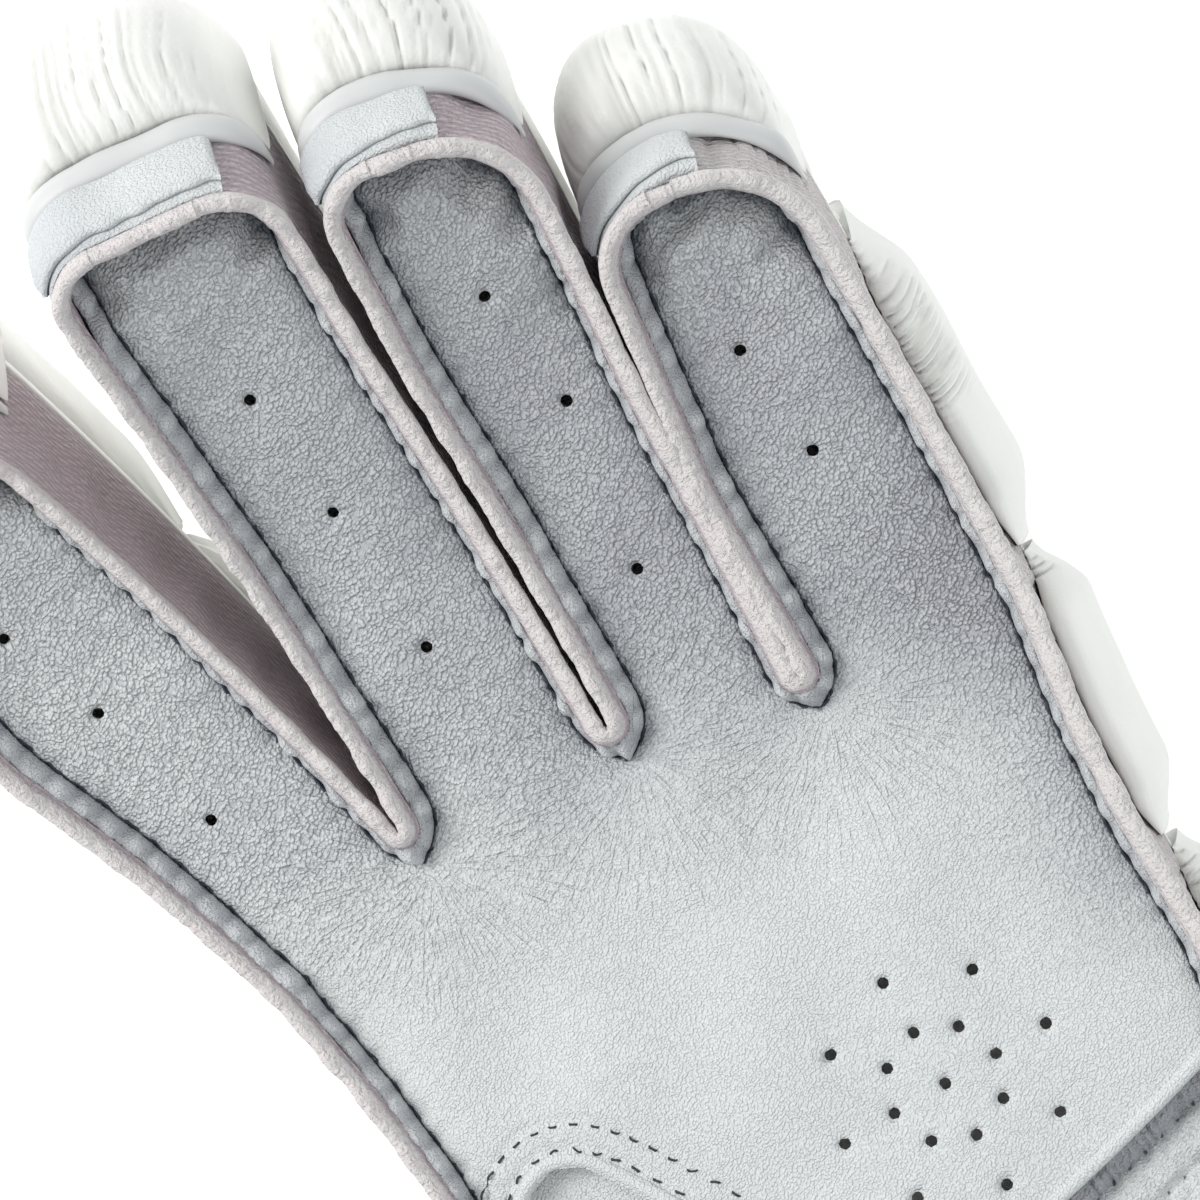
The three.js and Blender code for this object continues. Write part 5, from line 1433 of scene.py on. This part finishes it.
def cuff_points(turn, share, out):
    """Points of the cuff's tube: a squarish ring at each share of its length, that
    widens and drops towards the mouth, moved out from its wall."""
    width = CUFF_FRONT[0] + (CUFF_END[0] - CUFF_FRONT[0]) * share
    height = CUFF_FRONT[1] + (CUFF_END[1] - CUFF_FRONT[1]) * share
    c, d = np.cos(2 * np.pi * turn), np.sin(2 * np.pi * turn)
    side = np.sign(c) * np.abs(c) ** CUFF_SQUARENESS
    up = np.sign(d) * np.abs(d) ** CUFF_SQUARENESS
    x = CUFF_CENTRE_X + (width / 2 + out) * side
    h = CUFF_CENTRE_H - CUFF_END_DROP * share + (height / 2 + out) * up
    return bend(x, WRIST_S - GAP - CUFF_LENGTH * share, h)


def even_turns(count):
    """Turns round the tube that give points about evenly spaced along its outline."""
    fine = np.linspace(0, 1, 2001)
    ring = cuff_points(fine, 0.5 + 0 * fine, 0 * fine)[:, [0, 2]]
    place = lengths_along(ring)
    even = np.linspace(0, place[-1], count, endpoint=False)
    return np.interp(even, place, fine), place[-1] * 1000


def towelling_finish(name):
    """Looped cotton: dense small tufts with a soft sheen."""
    finish = Finish(name, Roughness=0.95, Specular_IOR_Level=0.1, Sheen_Weight=0.3)
    loops = finish.cells(finish.place(), 900)
    fuzz = finish.noise(finish.place(), 1800, 2)
    finish.bump((1 - loops) * 0.9 + fuzz * 0.4, 0.0007, 0.9)
    finish.colour(finish.mix(loops.step(0.1, 0.8), (0.80, 0.81, 0.80), (0.66, 0.67, 0.67)))
    return finish.material


towelling = towelling_finish("cuff_towelling")
turns, cuff_round_mm = even_turns(CUFF_ROUND)
ribs = 0.35 * np.cos(2 * np.pi * np.arange(CUFF_ROUND) / CUFF_ROUND
                     * round(cuff_round_mm / RIB_PITCH))
section = np.array([(share, -CUFF_WALL + 0.2) for share in np.linspace(0, 1, CUFF_ROWS)]
                   + [(share, 0.0) for share in np.linspace(1, 0, CUFF_ROWS)])
outside = np.r_[np.zeros(CUFF_ROWS), np.ones(CUFF_ROWS)]
down = section[None, :, 0]
folds = ripples(down * CUFF_LENGTH, turns[:, None] * 60, 71, 24) * 0.35
swell = (section[None, :, 1] + outside[None] * (ribs[:, None] - 0.4)
         + folds * rise(down, 0.05, 0.3) * (1 - rise(down, 0.8, 0.95)))
points = cuff_points(turns[:, None], down + 0 * swell, swell)
index = np.arange(points.shape[0] * points.shape[1]).reshape(points.shape[:2])
cuff = make_piece("cuff_towelling", points.reshape(-1, 3),
                  grid_faces(index, close_rows=True, close_columns=True), towelling)
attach(cuff, "root")
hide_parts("cuff")


def tape_finish(name):
    """Woven tape: fine ribs across its width."""
    finish = Finish(name, Roughness=0.8, Specular_IOR_Level=0.2, Sheen_Weight=0.2)
    length, across, _ = finish.parts(finish.node("ShaderNodeUVMap", {"uv_map": "cloth"}))
    rib = (length * (2 * math.pi / 0.9)).maths("SINE")
    thread = (across * (2 * math.pi / 0.7)).maths("SINE")
    finish.bump(rib * 0.5 + thread * 0.25, 0.0003, 0.7)
    finish.colour(finish.mix((rib * thread).step(-0.8, 0.8), (0.74, 0.75, 0.74),
                             (0.83, 0.835, 0.82)))
    return finish.material


tape = tape_finish("closure_webbing")
binding_share = BINDING_WIDTH / CUFF_LENGTH
seat = GAP / CUFF_LENGTH
binding_line = along([(1 - binding_share, GAP + 0.1), (1 - binding_share, GAP + BINDING_STANDOFF),
                      (1 + seat * 4.4, GAP + BINDING_STANDOFF), (1 + seat * 5, 0.4),
                      (1 + seat * 5, -CUFF_WALL + 0.5), (1 + seat * 1.6, -CUFF_WALL),
                      (1 + seat, -CUFF_WALL + 0.4), (1 + seat, GAP)],
                     np.linspace(0, 1, BINDING_ROWS))
lumps = 1 + 0.1 * ripples(turns[:, None] * 100, 0 * turns[:, None], 75, 3, 0, 0.2)
points = cuff_points(turns[:, None], binding_line[None, :, 0] + 0 * lumps,
                     binding_line[None, :, 1] * np.where(binding_line[None, :, 1] > 1, lumps, 1))
index = np.arange(points.shape[0] * points.shape[1]).reshape(points.shape[:2])
uv = np.stack(np.broadcast_arrays(turns[:, None] * cuff_round_mm,
                                  np.arange(BINDING_ROWS)[None] * 0.5), -1)
binding = make_piece("cuff_binding_tape", points.reshape(-1, 3),
                     grid_faces(index, close_rows=True, close_columns=True), tape,
                     uv=uv.reshape(-1, 2))
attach(binding, "root")
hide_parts("cuff_binding")

STRAP_ROUND, STRAP_ROWS = 170, 24
strap_turns = np.linspace(*STRAP_TURN, STRAP_ROUND)
strap_lo, strap_hi = STRAP_SETBACK / CUFF_LENGTH, (STRAP_SETBACK + STRAP_WIDTH) / CUFF_LENGTH
side_shares = np.linspace(0, 1, STRAP_ROWS)
edge_round = 1 - np.abs(2 * side_shares - 1) ** 6
end_round = 1 - np.abs(2 * np.linspace(0, 1, STRAP_ROUND) - 1) ** 30
rows = np.sin(np.pi * side_shares * 4) ** 2
face_out = GAP + 0.7 + (STRAP_WALL - 1.0) * edge_round[None] * (0.6 + 0.4 * rows[None]) * (
    0.3 + 0.7 * end_round[:, None])
out = np.concatenate([face_out, np.full_like(face_out, GAP)], 1)
shares = np.concatenate([side_shares, side_shares[::-1]])
along_share = strap_lo + (strap_hi - strap_lo) * shares[None] + 0 * out
points = cuff_points(strap_turns[:, None], along_share, out)
faces = tube_faces(np.arange(points.shape[0] * points.shape[1]).reshape(points.shape[:2]))
uv = np.stack(np.broadcast_arrays(strap_turns[:, None] * cuff_round_mm,
                                  shares[None] * STRAP_WIDTH), -1)
strap = make_piece("wrist_strap_tape", points.reshape(-1, 3), faces, tape, uv=uv.reshape(-1, 2))
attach(strap, "root")
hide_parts("wrist_strap")
